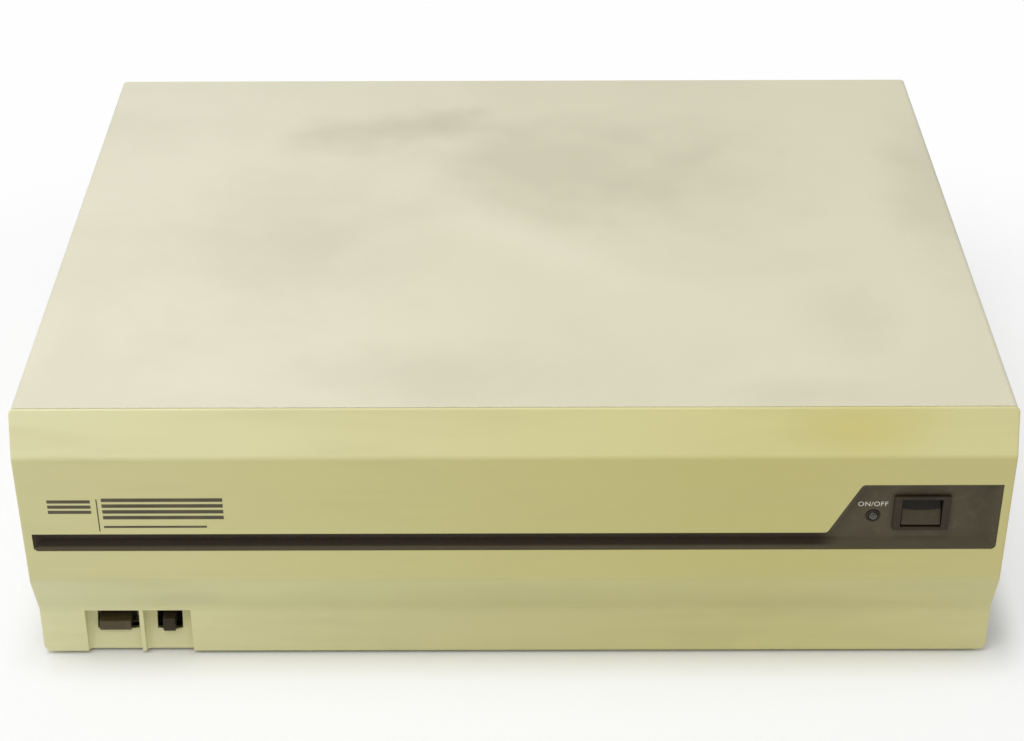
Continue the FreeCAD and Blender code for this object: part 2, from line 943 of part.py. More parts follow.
def front_trim_panel():
    """The dark tray let into the front: a stripe that flares into the switch panel."""
    body = new_body("FrontTrimPanel")
    low, high = trim_low, panel_high
    deep = size.trim_recess + size.trim_floor

    def leaning_slab(near, far):
        slab = sketch_on(body, "YZ_Plane")
        return outline(
            slab,
            [
                (face_at(low) + near, low),
                (face_at(high) + near, high),
                (face_at(high) + far, high),
                (face_at(low) + far, low),
            ],
        )

    pad(leaning_slab(size.trim_sink, deep), twice(trim_half), middle=True)
    front = -(nose_y - size.overrun)
    hollow = sketch_on(body, "XZ_Plane", front)
    outline(hollow, trim_outline(-size.trim_wall))
    pocket(hollow, size.lower_setback + size.overrun)
    pad(leaning_slab(size.trim_recess, deep), twice(trim_half), middle=True)
    add_ramps(body, deep)
    step = sketch_on(body, "XZ_Plane", front)
    end = -trim_half - size.overrun
    top = panel_high + size.overrun
    outline(
        step,
        [
            (end, stripe_high),
            (flare_foot, stripe_high),
            (flare_head, panel_high),
            (flare_head, top),
            (end, top),
        ],
    )
    pocket(step, size.lower_setback + size.overrun)
    round_edges(body, size.trim_corner, trim_corner_edge)
    openings = sketch_on(body, "XZ_Plane", front)
    wide = switch_half + size.fit_gap
    tall = switch_half_up + size.fit_gap
    rectangle(
        openings,
        switch_across - wide,
        switch_up - tall,
        switch_across + wide,
        switch_up + tall,
    )
    ring(openings, light_across, light_up, size.light_radius + size.trim_wall)
    pocket(openings, size.lower_setback + size.overrun)
    return node("front_trim_panel", body)


def add_ramps(body, deep):
    """The tray's sloping lower wall and right end, from the face down to its floor."""
    knee = trim_low + size.trim_wall
    crown = trim_low + size.trim_ramp_up
    ramp = sketch_on(body, "YZ_Plane")
    outline(
        ramp,
        [
            (face_at(trim_low) + size.trim_sink, trim_low),
            (face_at(knee) + size.trim_sink, knee),
            (face_at(crown) + size.trim_recess, crown),
            (face_at(crown) + deep, crown),
            (face_at(trim_low) + deep, trim_low),
        ],
    )
    pad(ramp, twice(trim_half), middle=True)
    ends = ((1, size.trim_end_ramp, panel_high), (-1, size.trim_start_ramp, stripe_high))
    for side, run, top in ends:
        sections = []
        for level in (trim_low, top):
            face = face_at(level)
            section = sketch_on(body, "XY_Plane", level)
            outline(
                section,
                [
                    ((trim_half - run) * side, face + size.trim_recess),
                    ((trim_half - run) * side, face + deep),
                    (trim_half * side, face + deep),
                    (trim_half * side, face + size.trim_sink),
                    ((trim_half - size.trim_wall) * side, face + size.trim_sink),
                ],
            )
            sections.append(section)
        end_ramp = body.newObject("PartDesign::AdditiveLoft", "EndRamp")
        end_ramp.Profile = sections[0]
        end_ramp.Sections = sections[1:]
        end_ramp.Ruled = True


def on_panel(part, across, up):
    """Stand a part on the floor of the switch panel, leaning back with the front."""
    spot = (across, face_at(up) + size.trim_recess, up)
    return place(part, spot, X_AXIS, face_lean)


def power_switch_frame():
    """The collar of the power switch; it stands on the panel round the rocker."""
    body = new_body("PowerSwitchFrame")
    sketch = sketch_on(body, "XZ_Plane")
    wide = half(size.switch_frame_width)
    tall = half(size.switch_frame_height)
    rectangle(sketch, -wide, -tall, wide, tall)
    slot = half(size.rocker_width) + size.fit_gap
    room = size.rocker_radius + size.fit_gap
    rectangle(sketch, -slot, -room, slot, room)
    pad(sketch, size.switch_frame_thick)
    return node("power_switch_frame", on_panel(body, switch_across, switch_up))


def power_switch_body():
    """The switch housing behind the panel, open in front for the rocker."""
    body = new_body("PowerSwitchBody")
    outer = sketch_on(body, "XZ_Plane")
    rectangle(outer, -switch_half, -switch_half_up, switch_half, switch_half_up)
    pad(outer, size.switch_body_deep, back=True)
    room = sketch_on(body, "XZ_Plane")
    slot = half(size.rocker_width) + size.fit_gap
    high = size.rocker_radius + size.fit_gap
    rectangle(room, -slot, -high, slot, high)
    pocket(room, size.rocker_pivot_deep + high)
    pivots = sketch_on(body, "YZ_Plane")
    ring(pivots, size.rocker_pivot_deep, ZERO, size.rocker_pin_radius + size.pin_clearance)
    reach = half(size.rocker_width) + size.rocker_pin_long + size.fit_gap
    pocket(pivots, twice(reach), middle=True)
    return node("power_switch_body", on_panel(body, switch_across, switch_up))


def power_rocker():
    """The rocker: a drum on two pins whose front is two flats that meet at a crest."""
    body = new_body("PowerRocker")
    drum = sketch_on(body, "YZ_Plane")
    pivot = size.rocker_pivot_deep
    ring(drum, pivot, ZERO, size.rocker_radius)
    pad(drum, size.rocker_width, middle=True)
    reach = size.rocker_radius + size.overrun
    crest = pivot - size.rocker_crown
    away = pivot - twice(reach)
    front = sketch_on(body, "YZ_Plane")
    outline(
        front,
        [
            (crest, ZERO),
            (crest, reach),
            (away, reach),
            (away, -reach),
            (crest - tangent(size.rocker_tilt) * reach, -reach),
        ],
    )
    pocket(front, size.rocker_width + size.overrun, middle=True)
    pins = sketch_on(body, "YZ_Plane")
    ring(pins, pivot, ZERO, size.rocker_pin_radius)
    pad(pins, size.rocker_width + twice(size.rocker_pin_long), middle=True)
    return node("power_rocker", on_panel(body, switch_across, switch_up))


def switch_terminals():
    """Four flat tabs at the back of the power switch."""
    tabs = []
    middle = half(size.terminal_thick)
    back = size.switch_body_deep
    for side in (-1, 1):
        for level in (-1, 1):
            across = half(switch_half) * side - half(size.terminal_wide)
            up = half(switch_half_up) * level - middle
            extent = (size.terminal_wide, size.terminal_long, size.terminal_thick)
            tabs.append(block((across, back, up), extent))
    return node("switch_terminals", on_panel(group(tabs), switch_across, switch_up))


def power_light():
    """The lamp: a round lens with a low dome."""
    body = new_body("PowerLight")
    section = sketch_on(body, "YZ_Plane")
    front = -size.light_ring_proud - size.light_dome
    outline(
        section,
        [
            (front, ZERO),
            (front, half(size.light_radius)),
            (-size.light_ring_proud, size.light_radius),
            (size.light_long, size.light_radius),
            (size.light_long, ZERO),
        ],
    )
    revolve(section, "H_Axis")
    return node("power_light", on_panel(body, light_across, light_up))


def light_holder():
    """The collar that clips the lamp into the panel."""
    body = new_body("LightHolder")
    section = sketch_on(body, "YZ_Plane")
    bore = size.light_radius + size.hole_gap
    sleeve = size.light_radius + size.trim_wall - size.hole_gap
    outline(
        section,
        [
            (-size.light_ring_proud, bore),
            (-size.light_ring_proud, size.light_ring_radius - half(size.light_ring_proud)),
            (-half(size.light_ring_proud), size.light_ring_radius),
            (ZERO, size.light_ring_radius),
            (ZERO, sleeve),
            (size.light_socket_long, sleeve),
            (size.light_socket_long, bore),
        ],
    )
    revolve(section, "H_Axis")
    return node("light_holder", on_panel(body, light_across, light_up))


def top_cover():
    """The painted sheet-steel cover: one folded sheet, with louvres low on both sides."""
    body = new_body("TopCover")
    fold = sketch_on(body, "XZ_Plane", -rear_y)
    foot = size.cover_foot_up
    outline(
        fold,
        [
            (-cover_half, foot),
            (-cover_inside, foot),
            (-cover_inside, cover_underside),
            (cover_inside, cover_underside),
            (cover_inside, foot),
            (cover_half, foot),
            (cover_half, size.case_height),
            (-cover_half, size.case_height),
        ],
    )
    front = seam_y + size.seam_gap
    pad(fold, rear_y - front)
    sides = sketch_on(body, "YZ_Plane")
    edge = front_line(size.bezel_band + size.seam_gap)
    ahead = nose_y - size.overrun
    outline(
        sides,
        [(ahead, nose_up)] + edge + [(edge[-1][0], ZERO), (ahead, ZERO)],
    )
    pocket(sides, size.case_width + size.overrun, middle=True)
    vent = sketch_on(body, "YZ_Plane")
    near = vent_first
    rectangle(vent, near, size.vent_low, near + size.vent_wide, size.vent_low + size.vent_high)
    slot = pocket(vent, size.case_width + size.overrun, middle=True)
    row_of(body, slot, "Y_Axis", size.vent_pitch * (size.vent_count - 1), size.vent_count)
    holes = sketch_on(body, "YZ_Plane")
    for along in (cover_screw_front, cover_screw_rear):
        ring(holes, along, size.cover_screw_up, size.screw_radius + size.hole_gap)
    pocket(holes, size.case_width + size.overrun, middle=True)
    round_edges(body, size.cover_bend, corner_edge(cover_half, size.case_height))
    bend = size.cover_bend - size.sheet_steel
    round_edges(body, bend, corner_edge(cover_inside, cover_underside))
    return node("top_cover", body)


def base_chassis():
    """The folded tray that carries everything, with an upstand in front and behind."""
    body = new_body("BaseChassis")
    length = panel_front - base_front
    tray = sketch_on(body, "XZ_Plane", -panel_front)
    outline(
        tray,
        [
            (-base_half, size.base_up),
            (base_half, size.base_up),
            (base_half, base_top + size.base_flange),
            (base_half - size.sheet_steel, base_top + size.base_flange),
            (base_half - size.sheet_steel, base_top),
            (size.sheet_steel - base_half, base_top),
            (size.sheet_steel - base_half, base_top + size.base_flange),
            (-base_half, base_top + size.base_flange),
        ],
    )
    pad(tray, length)
    upstand = sketch_on(body, "XZ_Plane", -(base_front + size.sheet_steel))
    wide = base_half - size.sheet_steel - size.fit_gap
    rectangle(upstand, -wide, size.base_up, wide, base_front_high)
    pad(upstand, size.sheet_steel)
    rear = sketch_on(body, "XZ_Plane", -panel_front)
    rectangle(rear, -wide, size.base_up, wide, size.rear_flange_high)
    pad(rear, size.sheet_steel)
    front_cuts = sketch_on(body, "XZ_Plane", -(base_front + size.overrun))
    rectangle(
        front_cuts,
        board_window_left,
        base_top,
        board_window_right,
        size.board_window_high,
    )
    for side in (-1, 1):
        ring(
            front_cuts,
            bezel_boss_across * side,
            bezel_boss_up,
            size.screw_radius + size.hole_gap,
        )
    pocket(front_cuts, twice(size.overrun), back=True)
    rear_cuts = sketch_on(body, "XZ_Plane", -(panel_front + size.overrun))
    for side in (-1, 1):
        for step in (1, 2):
            across = rear_screw_across * side * step
            ring(rear_cuts, across, size.rear_screw_up, size.screw_radius + size.hole_gap)
    pocket(rear_cuts, twice(size.overrun), back=True)
    side_holes = sketch_on(body, "YZ_Plane")
    for along in (cover_screw_front, cover_screw_rear):
        ring(side_holes, along, size.cover_screw_up, size.screw_radius + size.hole_gap)
    pocket(side_holes, size.case_width, middle=True)
    floor_holes = sketch_on(body, "XY_Plane", size.base_up - size.overrun)
    for across, back in foot_spots():
        ring(floor_holes, across, back, size.screw_radius + size.hole_gap)
    for across, back in speaker_holes():
        ring(floor_holes, across, back, size.speaker_hole)
    pocket(floor_holes, twice(size.overrun), back=True)
    return node("base_chassis", body)


def foot_spots():
    """Where the four feet stand."""
    spots = []
    for side in (-1, 1):
        for back in (foot_front, foot_rear):
            spots.append((foot_across * side, back))
    return spots


def speaker_holes():
    """The ring of sound holes under the speaker."""
    centre = (speaker_across, speaker_back)
    count = size.speaker_hole_count
    around = [
        round_about(centre, size.speaker_hole_ring, index, count) for index in range(whole(count))
    ]
    return [centre] + around


def slot_up(index):
    """The height of one expansion slot's middle."""
    return size.slot_first + slot_pitch * index


def rear_panel():
    """The rear sheet: six card slots, the fan grille and every socket's cut-out."""
    body = new_body("RearPanel")
    sheet = sketch_on(body, "XZ_Plane", -panel_back)
    high = panel_top
    rectangle(sheet, -base_half, base_top, base_half, high)
    pad(sheet, size.sheet_steel)
    round_edges(body, size.cover_bend - size.sheet_steel, corner_edge(base_half, high))
    fold = sketch_on(body, "XZ_Plane", -panel_back)
    inner = base_half - size.rear_fold
    rectangle(fold, -inner, high - size.sheet_steel, inner, high)
    pad(fold, size.rear_fold)
    beyond = -(panel_back + size.overrun)
    slot_sketch = sketch_on(body, "XZ_Plane", beyond)
    low = size.slot_first - half(slot_hole_high)
    rectangle(
        slot_sketch,
        cage_left + size.slot_hole_inset,
        low,
        cage_right - size.slot_hole_inset,
        low + slot_hole_high,
    )
    slot = pocket(slot_sketch, twice(size.overrun), back=True)
    row_of(body, slot, "Z_Axis", slot_pitch * (size.slot_count - 1), size.slot_count)
    cuts = sketch_on(body, "XZ_Plane", beyond)
    ring(cuts, fan_across, fan_up, fan_bore)
    wide = half(size.inlet_wide) + size.fit_gap
    tall = half(size.inlet_high) + size.fit_gap
    rectangle(
        cuts,
        inlet_across - wide,
        size.inlet_up - tall,
        inlet_across + wide,
        size.inlet_up + tall,
    )
    wide = half(size.serial_shell_wide) + size.fit_gap
    tall = half(size.serial_shell_high) + size.fit_gap
    rectangle(
        cuts,
        serial_across - wide,
        size.port_up - tall,
        serial_across + wide,
        size.port_up + tall,
    )
    for side in (-1, 1):
        stud = size.screw_radius + size.hole_gap
        ring(cuts, serial_across + size.jack_half * side, size.port_up, stud)
    wide = half(size.printer_wide) - size.port_mouth + size.fit_gap
    tall = half(size.printer_mouth_high) + size.fit_gap
    rectangle(
        cuts,
        printer_across - wide,
        size.port_up - tall,
        printer_across + wide,
        size.port_up + tall,
    )
    for index in range(whole(size.video_count)):
        across = video_first + video_pitch * index
        ring(cuts, across, size.video_up, size.video_bore + size.fit_gap)
    for side in (-1, 1):
        for step in (1, 2):
            across = rear_screw_across * side * step
            ring(cuts, across, size.rear_screw_up, size.screw_radius + size.hole_gap)
    for side in (-1, 1):
        for level in (-1, 1):
            across = fan_across + fan_screw_half * side
            up = fan_up + fan_screw_half * level
            ring(cuts, across, up, size.screw_radius + size.hole_gap)
    for across in slot_screw_spots():
        for index in range(whole(size.slot_count)):
            ring(cuts, across, slot_up(index), size.screw_radius + size.hole_gap)
    pocket(cuts, twice(size.overrun), back=True)
    return node("rear_panel", body)


def slot_screw_spots():
    """How far across the two screws of each slot cover sit."""
    inset = half(size.slot_hole_inset)
    return [cage_left + inset, cage_right - inset]


def screw(spot, along, toward, head_radius, head_high, length):
    """A screw whose head lies outside the spot and whose shank runs inward from it.

    `toward` is the sense of the shank along its axis, 1 or -1.
    """
    axis = "xyz".index(along)

    def shifted(distance):
        moved = list(spot)
        moved[axis] = as_size(moved[axis]) + distance
        return moved

    head_foot = -head_high if toward > 0 else ZERO
    shank_foot = ZERO if toward > 0 else -length
    head = rod(shifted(head_foot), head_radius, head_high, along)
    return fused(head, rod(shifted(shank_foot), size.screw_radius, length, along))


def plain_screw(spot, along, toward):
    """A pan-head screw of the common size."""
    return screw(
        spot, along, toward, size.screw_head_radius, size.screw_head_high, size.screw_long
    )


def rubber_feet():
    """Four rubber feet, each a low cone with a recess for its screw."""
    feet = []
    for across, back in foot_spots():
        cone = doc.addObject("Part::Cone", "Foot")
        bind(cone, "Radius1", size.foot_radius - size.foot_flare)
        bind(cone, "Radius2", size.foot_radius)
        bind(cone, "Height", size.base_up)
        place(cone, (across, back, ZERO))
        recess = rod((across, back, ZERO), size.foot_recess_radius, size.foot_recess_deep)
        bore = rod((across, back, ZERO), size.screw_radius + size.hole_gap, size.base_up)
        feet.append(cut(cone, recess, bore))
    return node("rubber_feet", group(feet))


def case_screws():
    """The equal pan-head screws of the feet, cover, bezel, rear panel and main board."""
    screws = []
    for across, back in foot_spots():
        screws.append(plain_screw((across, back, size.foot_recess_deep), "z", 1))
    for side in (-1, 1):
        for along in (cover_screw_front, cover_screw_rear):
            spot = (cover_half * side, along, size.cover_screw_up)
            screws.append(plain_screw(spot, "x", -side))
        across = bezel_boss_across * side
        spot = (across, base_front + size.sheet_steel, bezel_boss_up)
        screws.append(plain_screw(spot, "y", -1))
        for step in (1, 2):
            spot = (rear_screw_across * side * step, panel_back, size.rear_screw_up)
            screws.append(plain_screw(spot, "y", -1))
    for across, back in standoff_spots():
        screws.append(plain_screw((across, back, board_top), "z", -1))
    return node("case_screws", group(screws))


def front_board():
    """The small upright board behind the bays."""
    back = base_front + size.sheet_steel
    low = (front_board_left, back, size.front_board_low)
    high = (front_board_right, back + size.board_thick, size.front_board_high)
    return node("front_board", block_between(low, high))


def reset_button():
    """The reset key: a cap on a stem that slides into its switch."""
    body = new_body("ResetButton")
    cap = sketch_on(body, "XZ_Plane", -reset_back)
    wide = half(size.reset_wide)
    rectangle(cap, -wide, -half(size.reset_high), wide, half(size.reset_high))
    pad(cap, size.reset_long)
    stem = sketch_on(body, "XZ_Plane", -reset_back)
    ring(stem, ZERO, ZERO, size.reset_stem_radius)
    pad(stem, size.reset_stem_long, back=True)
    return node("reset_button", place(body, (reset_across, ZERO, reset_up)))


def reset_switch_body():
    """The switch under the reset key, on the front board."""
    wide = half(size.reset_body_wide)
    face = front_board_face - size.reset_body_deep
    shell = block_between(
        (reset_across - wide, face, reset_up - wide),
        (reset_across + wide, front_board_face, reset_up + wide),
    )
    bore_radius = size.reset_stem_radius + size.pin_clearance
    bore = rod((reset_across, face, reset_up), bore_radius, size.reset_bore_deep, "y")
    return node("reset_switch_body", cut(shell, bore))


def keyboard_socket():
    """The keyboard socket: a shroud in its hole with a broad tongue low on the left."""
    gap = size.fit_gap
    left, right = socket_hole_left + gap, socket_hole_right - gap
    low, high = size.bay_hole_low + gap, size.bay_hole_high - gap
    front = bay_back + gap
    shroud = block_between((left, front, low), (right, front_board_face, high))
    wall = size.socket_wall
    room = block_between(
        (left + wall, front - size.overrun, low + wall),
        (right - wall, front_board_face - size.socket_base, high - wall),
    )
    tongue_left = left + size.tongue_inset
    tongue = block_between(
        (tongue_left, bay_back - size.tongue_proud, low),
        (
            tongue_left + size.tongue_wide,
            front_board_face - size.socket_base,
            low + size.tongue_high,
        ),
    )
    return node("keyboard_socket", fused(cut(shroud, room), tongue))


def keyboard_contacts():
    """A row of pins above the socket's tongue."""
    pins = []
    base = front_board_face - size.socket_base
    first = socket_hole_left + size.contact_inset
    up = size.bay_hole_high - size.contact_inset
    for index in range(whole(size.contact_count)):
        across = first + size.contact_pitch * index
        foot = (across, base - size.contact_long, up)
        pins.append(rod(foot, size.contact_radius, size.contact_long, "y"))
    return node("keyboard_contacts", group(pins))


def standoff_spots():
    """Where the posts under the main board stand."""
    inset = twice(size.standoff_radius)
    rows = (main_front + inset, main_middle, main_rear - inset)
    return [
        (across, back)
        for across in (main_left + inset, main_right - inset)
        for back in rows
    ]


def main_board():
    """The large board on the floor of the case."""
    low = (main_left, main_front, board_up)
    plate = block_between(low, (main_right, main_rear, board_top))
    bores = []
    bore_radius = size.screw_radius + size.hole_gap
    for across, back in standoff_spots():
        bores.append(rod((across, back, board_up), bore_radius, size.board_thick))
    return node("main_board", cut(plate, *bores))


def board_posts():
    """The equal posts that carry the main board and the supply's board."""
    posts = []
    spots = [(across, back, base_top) for across, back in standoff_spots()]
    for across, back, foot in spots + psu_post_spots():
        post = rod((across, back, foot), size.standoff_radius, size.standoff_high)
        bore_radius = size.screw_radius + size.hole_gap
        posts.append(cut(post, rod((across, back, foot), bore_radius, size.standoff_high)))
    return node("board_posts", group(posts))


def psu_post_spots():
    """Where the four posts under the supply's board stand."""
    inset = size.sheet_steel + size.psu_post_inset
    return [
        (across, back, base_top + size.sheet_steel)
        for across in (psu_left + inset, psu_right - inset)
        for back in (psu_front + inset, psu_rear - inset)
    ]


def chip_bank(name, first, pitch, counts, extent):
    """Equal chips in rows on the main board."""
    chips = []
    for column in range(whole(counts[0])):
        for line in range(whole(counts[1])):
            across = first[0] + pitch[0] * column
            back = first[1] + pitch[1] * line
            chips.append(block((across, back, board_top), extent))
    return node(name, group(chips))


def board_parts():
    """The chips, clock, battery and power header of the main board."""
    high = size.chip_high
    clear = size.chip_clear
    left = main_left + size.bank_inset
    front = main_front + size.bank_inset
    small_columns = size.memory_column_count + size.logic_column_count
    room_across = main_right - main_left - twice(size.bank_inset)
    room_back = cage_front - main_front - twice(size.bank_inset)
    step = room_across / (small_columns + size.rom_column_count)
    pitch = (step, room_back / size.chip_row_count)
    small = (size.chip_short, size.chip_narrow, high)
    counts = (size.memory_column_count, size.chip_row_count)
    chip_bank("memory_chips", (left, front), pitch, counts, small)
    logic_left = left + step * size.memory_column_count
    counts = (size.logic_column_count, size.chip_row_count)
    chip_bank("logic_chips", (logic_left, front), pitch, counts, small)
    rom_left = left + step * small_columns
    rom_pitch = (step, room_back / size.rom_row_count)
    counts = (size.rom_column_count, size.rom_row_count)
    rom = (size.chip_wide, size.rom_long, high)
    chip_bank("rom_chips", (rom_left, front), rom_pitch, counts, rom)
    one = as_size(1)
    across = half(cage_right + main_right)
    back = cage_front
    chip_bank(
        "processor", (across, back, ZERO), (ZERO, ZERO), (one, one),
        (size.chip_wide, size.chip_long, high),
    )
    can_left = across - twice(clear) - size.crystal_wide
    can_extent = (size.crystal_wide, size.crystal_deep, size.crystal_high)
    can = block((can_left, back, board_top), can_extent)
    ends = [
        rod((can_left + size.crystal_wide * end, back + half(size.crystal_deep), board_top),
            half(size.crystal_deep), size.crystal_high)
        for end in (0, 1)
    ]
    node("clock_crystal", fused(can, *ends))
    cell = (
        can_left - size.battery_long,
        back + size.battery_setback,
        board_top + size.battery_radius + size.hole_gap,
    )
    node("backup_battery", rod(cell, size.battery_radius, size.battery_long, "x"))
    header = (
        main_right - size.plug_deep - clear,
        psu_front,
        board_top,
    )
    node("power_header", block(header, (size.plug_deep, size.plug_wide, size.plug_high)))


def power_harness():
    """The bound wires that run from the supply's wall down to the header on the board."""
    across = main_right - size.chip_clear - half(size.plug_deep)
    along = psu_front + half(size.plug_wide)
    low = board_top + size.plug_high
    radius, bend = size.harness_radius, size.harness_bend
    turn_up = low + size.harness_rise
    riser = rod((across, along, low), radius, size.harness_rise)
    elbow = doc.addObject("Part::Torus", "Elbow")
    bind(elbow, "Radius1", bend)
    bind(elbow, "Radius2", radius)
    elbow.Angle3 = QUARTER_TURN
    place(elbow, (across + bend, along, turn_up))
    spot = elbow.Placement.Base
    elbow.Placement = FreeCAD.Placement(spot, ELBOW_TURN)
    lead_left = across + bend
    lead = rod((lead_left, along, turn_up + bend), radius, psu_left - lead_left, "x")
    return node("power_harness", fused(riser, elbow, lead))


def card_cage():
    """The folded steel cage of the expansion slots."""
    body = new_body("CardCage")
    sheet = size.sheet_steel
    left, right = cage_left, cage_right
    fold = sketch_on(body, "XZ_Plane", -panel_front)
    outline(
        fold,
        [
            (left, base_top),
            (left + sheet, base_top),
            (left + sheet, cage_high - sheet),
            (right - sheet, cage_high - sheet),
            (right - sheet, size.cage_low),
            (right, size.cage_low),
            (right, cage_high),
            (left, cage_high),
        ],
    )
    pad(fold, panel_front - cage_front)
    notch = sketch_on(body, "YZ_Plane")
    clear_y = panel_front - sheet - size.fit_gap
    rectangle(notch, clear_y, ZERO, rear_y, size.rear_flange_high + size.fit_gap)
    pocket(notch, size.case_width, middle=True)
    front = sketch_on(body, "XZ_Plane", -(cage_front + sheet))
    tabs = ((left, left + size.cage_flange), (right - size.cage_flange, right))
    for near, far in tabs:
        rectangle(front, near, size.cage_low, far, cage_high)
    pad(front, sheet)
    rear = sketch_on(body, "XZ_Plane", -panel_front)
    rectangle(rear, right - sheet, size.cage_low, right + size.cage_flange, cage_high)
    pad(rear, sheet)
    return node("card_cage", body)


def slot_hardware():
    """The backplane, its sockets, the card guides, and the blank covers with their screws."""
    sheet = size.sheet_steel
    front = cage_front
    left, right = cage_left, cage_right
    back_low = (left + size.backplane_inset, front - size.board_thick, board_top)
    back_high = (right, front, cage_high)
    node("backplane_board", block_between(back_low, back_high))
    middle = half(left + right)
    sockets, guides, covers, screws = [], [], [], []
    for index in range(whole(size.slot_count)):
        up = slot_up(index)
        reach = half(size.connector_long)
        tall = half(size.connector_high)
        slit = half(size.connector_slit)
        shell = block_between(
            (middle - reach, front, up - tall),
            (middle + reach, front + size.connector_deep, up + tall),
        )
        mouth = block_between(
            (middle - reach + size.connector_slit, front + size.connector_slit, up - slit),
            (middle + reach - size.connector_slit, front + twice(size.connector_deep), up + slit),
        )
        sockets.append(cut(shell, mouth))
        for side, wall in ((1, left + sheet), (-1, right - sheet)):
            guides.append(card_guide(side, wall, up))
        covers.append(slot_cover(index))
        for across in slot_screw_spots():
            spot = (across, panel_back + sheet, up)
            head = (size.thumb_radius, size.thumb_high)
            screws.append(screw(spot, "y", -1, head[0], head[1], size.screw_long))
    node("slot_sockets", group(sockets))
    node("card_guides", group(guides))
    for index, cover in enumerate(covers):
        node("slot_cover_%d" % (index + 1), cover)
    node("slot_thumb_screws", group(screws))


def card_guide(side, wall, up):
    """A channel on a wall of the cage that one edge of a card slides in."""
    far = wall + size.guide_wide * side
    groove = half(size.guide_groove)
    tall = half(size.guide_high)
    near_x, far_x = (wall, far) if side > 0 else (far, wall)
    start = cage_front + size.connector_deep + size.guide_setback
    end = panel_front - size.guide_gap
    rail = block_between((near_x, start, up - tall), (far_x, end, up + tall))
    deep = size.guide_wide - size.guide_groove
    mouth = far if side < 0 else far - deep
    slot = block(
        (mouth, start - size.overrun, up - groove),
        (deep, end - start + twice(size.overrun), size.guide_groove),
    )
    return cut(rail, slot)


def slot_cover(index):
    """A blank plate over one card slot, stiffened by a pressed rib."""
    body = new_body("SlotCover")
    plate = sketch_on(body, "XZ_Plane", -(panel_back + size.sheet_steel))
    tall = half(slot_cover_high)
    rectangle(plate, cage_left, -tall, cage_right, tall)
    pad(plate, size.sheet_steel)
    rib = sketch_on(body, "XZ_Plane", -(panel_back + size.sheet_steel + size.slot_rib_deep))
    inset = size.slot_hole_inset + size.slot_rib_high
    rib_tall = half(size.slot_rib_high)
    rectangle(rib, cage_left + inset, -rib_tall, cage_right - inset, rib_tall)
    pad(rib, size.slot_rib_deep)
    holes = sketch_on(body, "XZ_Plane", -(panel_back + size.sheet_steel + size.overrun))
    for across in slot_screw_spots():
        ring(holes, across, ZERO, size.screw_radius + size.hole_gap)
    pocket(holes, twice(size.overrun), back=True)
    return place(body, (ZERO, ZERO, slot_up(index)))


def psu_case():
    """The supply's steel tub, slotted on the side that faces the boards."""
    body = new_body("PsuCase")
    left, right = psu_left, psu_right
    front, back = psu_front, psu_rear
    wall = size.sheet_steel
    outer = sketch_on(body, "XY_Plane", base_top)
    rectangle(outer, left, front, right, back)
    pad(outer, psu_high - base_top)
    room = sketch_on(body, "XY_Plane", base_top + wall)
    rectangle(room, left + wall, front + wall, right - wall, back - wall)
    pocket(room, psu_high, back=True)
    slot_sketch = sketch_on(body, "YZ_Plane", left - size.overrun)
    near = half(front + back - size.psu_vent_wide)
    low = psu_high - size.psu_vent_pitch * (size.psu_vent_count + 1)
    rectangle(slot_sketch, near, low, near + size.psu_vent_wide, low + size.psu_vent_high)
    slot = pocket(slot_sketch, twice(size.overrun), back=True)
    reach = size.psu_vent_pitch * (size.psu_vent_count - 1)
    row_of(body, slot, "Z_Axis", reach, size.psu_vent_count)
    outlet = sketch_on(body, "XZ_Plane", -(back + size.overrun))
    ring(outlet, fan_across, psu_outlet_up, psu_outlet_radius)
    pocket(outlet, twice(size.overrun), back=True)
    return node("psu_case", body)


def psu_cover():
    """The flat lid of the supply, with a row of slots."""
    body = new_body("PsuCover")
    lid = sketch_on(body, "XY_Plane", psu_high)
    rectangle(lid, psu_left, psu_front, psu_right, psu_rear)
    pad(lid, size.sheet_steel)
    middle = half(psu_left + psu_right)
    reach = half(size.psu_vent_wide)
    slot_sketch = sketch_on(body, "XY_Plane", psu_high - size.overrun)
    near = psu_front + size.psu_vent_wide
    rectangle(slot_sketch, middle - reach, near, middle + reach, near + size.psu_vent_high)
    slot = pocket(slot_sketch, twice(size.overrun), back=True)
    length = size.psu_vent_pitch * (size.psu_vent_count - 1)
    row_of(body, slot, "Y_Axis", length, size.psu_vent_count)
    return node("psu_cover", body)


def psu_parts():
    """The supply's board on its posts, with transformer, capacitors and heat sink."""
    spots = psu_post_spots()
    left, front, floor = spots[0]
    right, back = spots[-1][:2]
    board = floor + size.standoff_high
    edge = twice(size.standoff_radius)
    low = (left - edge, front - edge, board)
    node("psu_board", block_between(low, (right + edge, back + edge, board + size.board_thick)))
    top = board + size.board_thick
    core_front = front + size.coil_proud
    core = block((left, core_front, top), (size.core_wide, size.core_deep, size.core_high))
    coil_left = left + half(size.core_wide - size.coil_wide)
    coil_low = top + size.coil_proud
    coil = block(
        (coil_left, front, coil_low),
        (
            size.coil_wide,
            size.core_deep + twice(size.coil_proud),
            size.core_high - twice(size.coil_proud),
        ),
    )
    node("psu_transformer", fused(core, coil))
    cans = []
    for index in range(whole(size.capacitor_count)):
        spot = (
            right - size.capacitor_radius,
            front + size.capacitor_radius + size.capacitor_pitch * index,
            top,
        )
        cans.append(rod(spot, size.capacitor_radius, size.capacitor_high))
    node("psu_capacitors", group(cans))
    heat_sink(left, back, top)


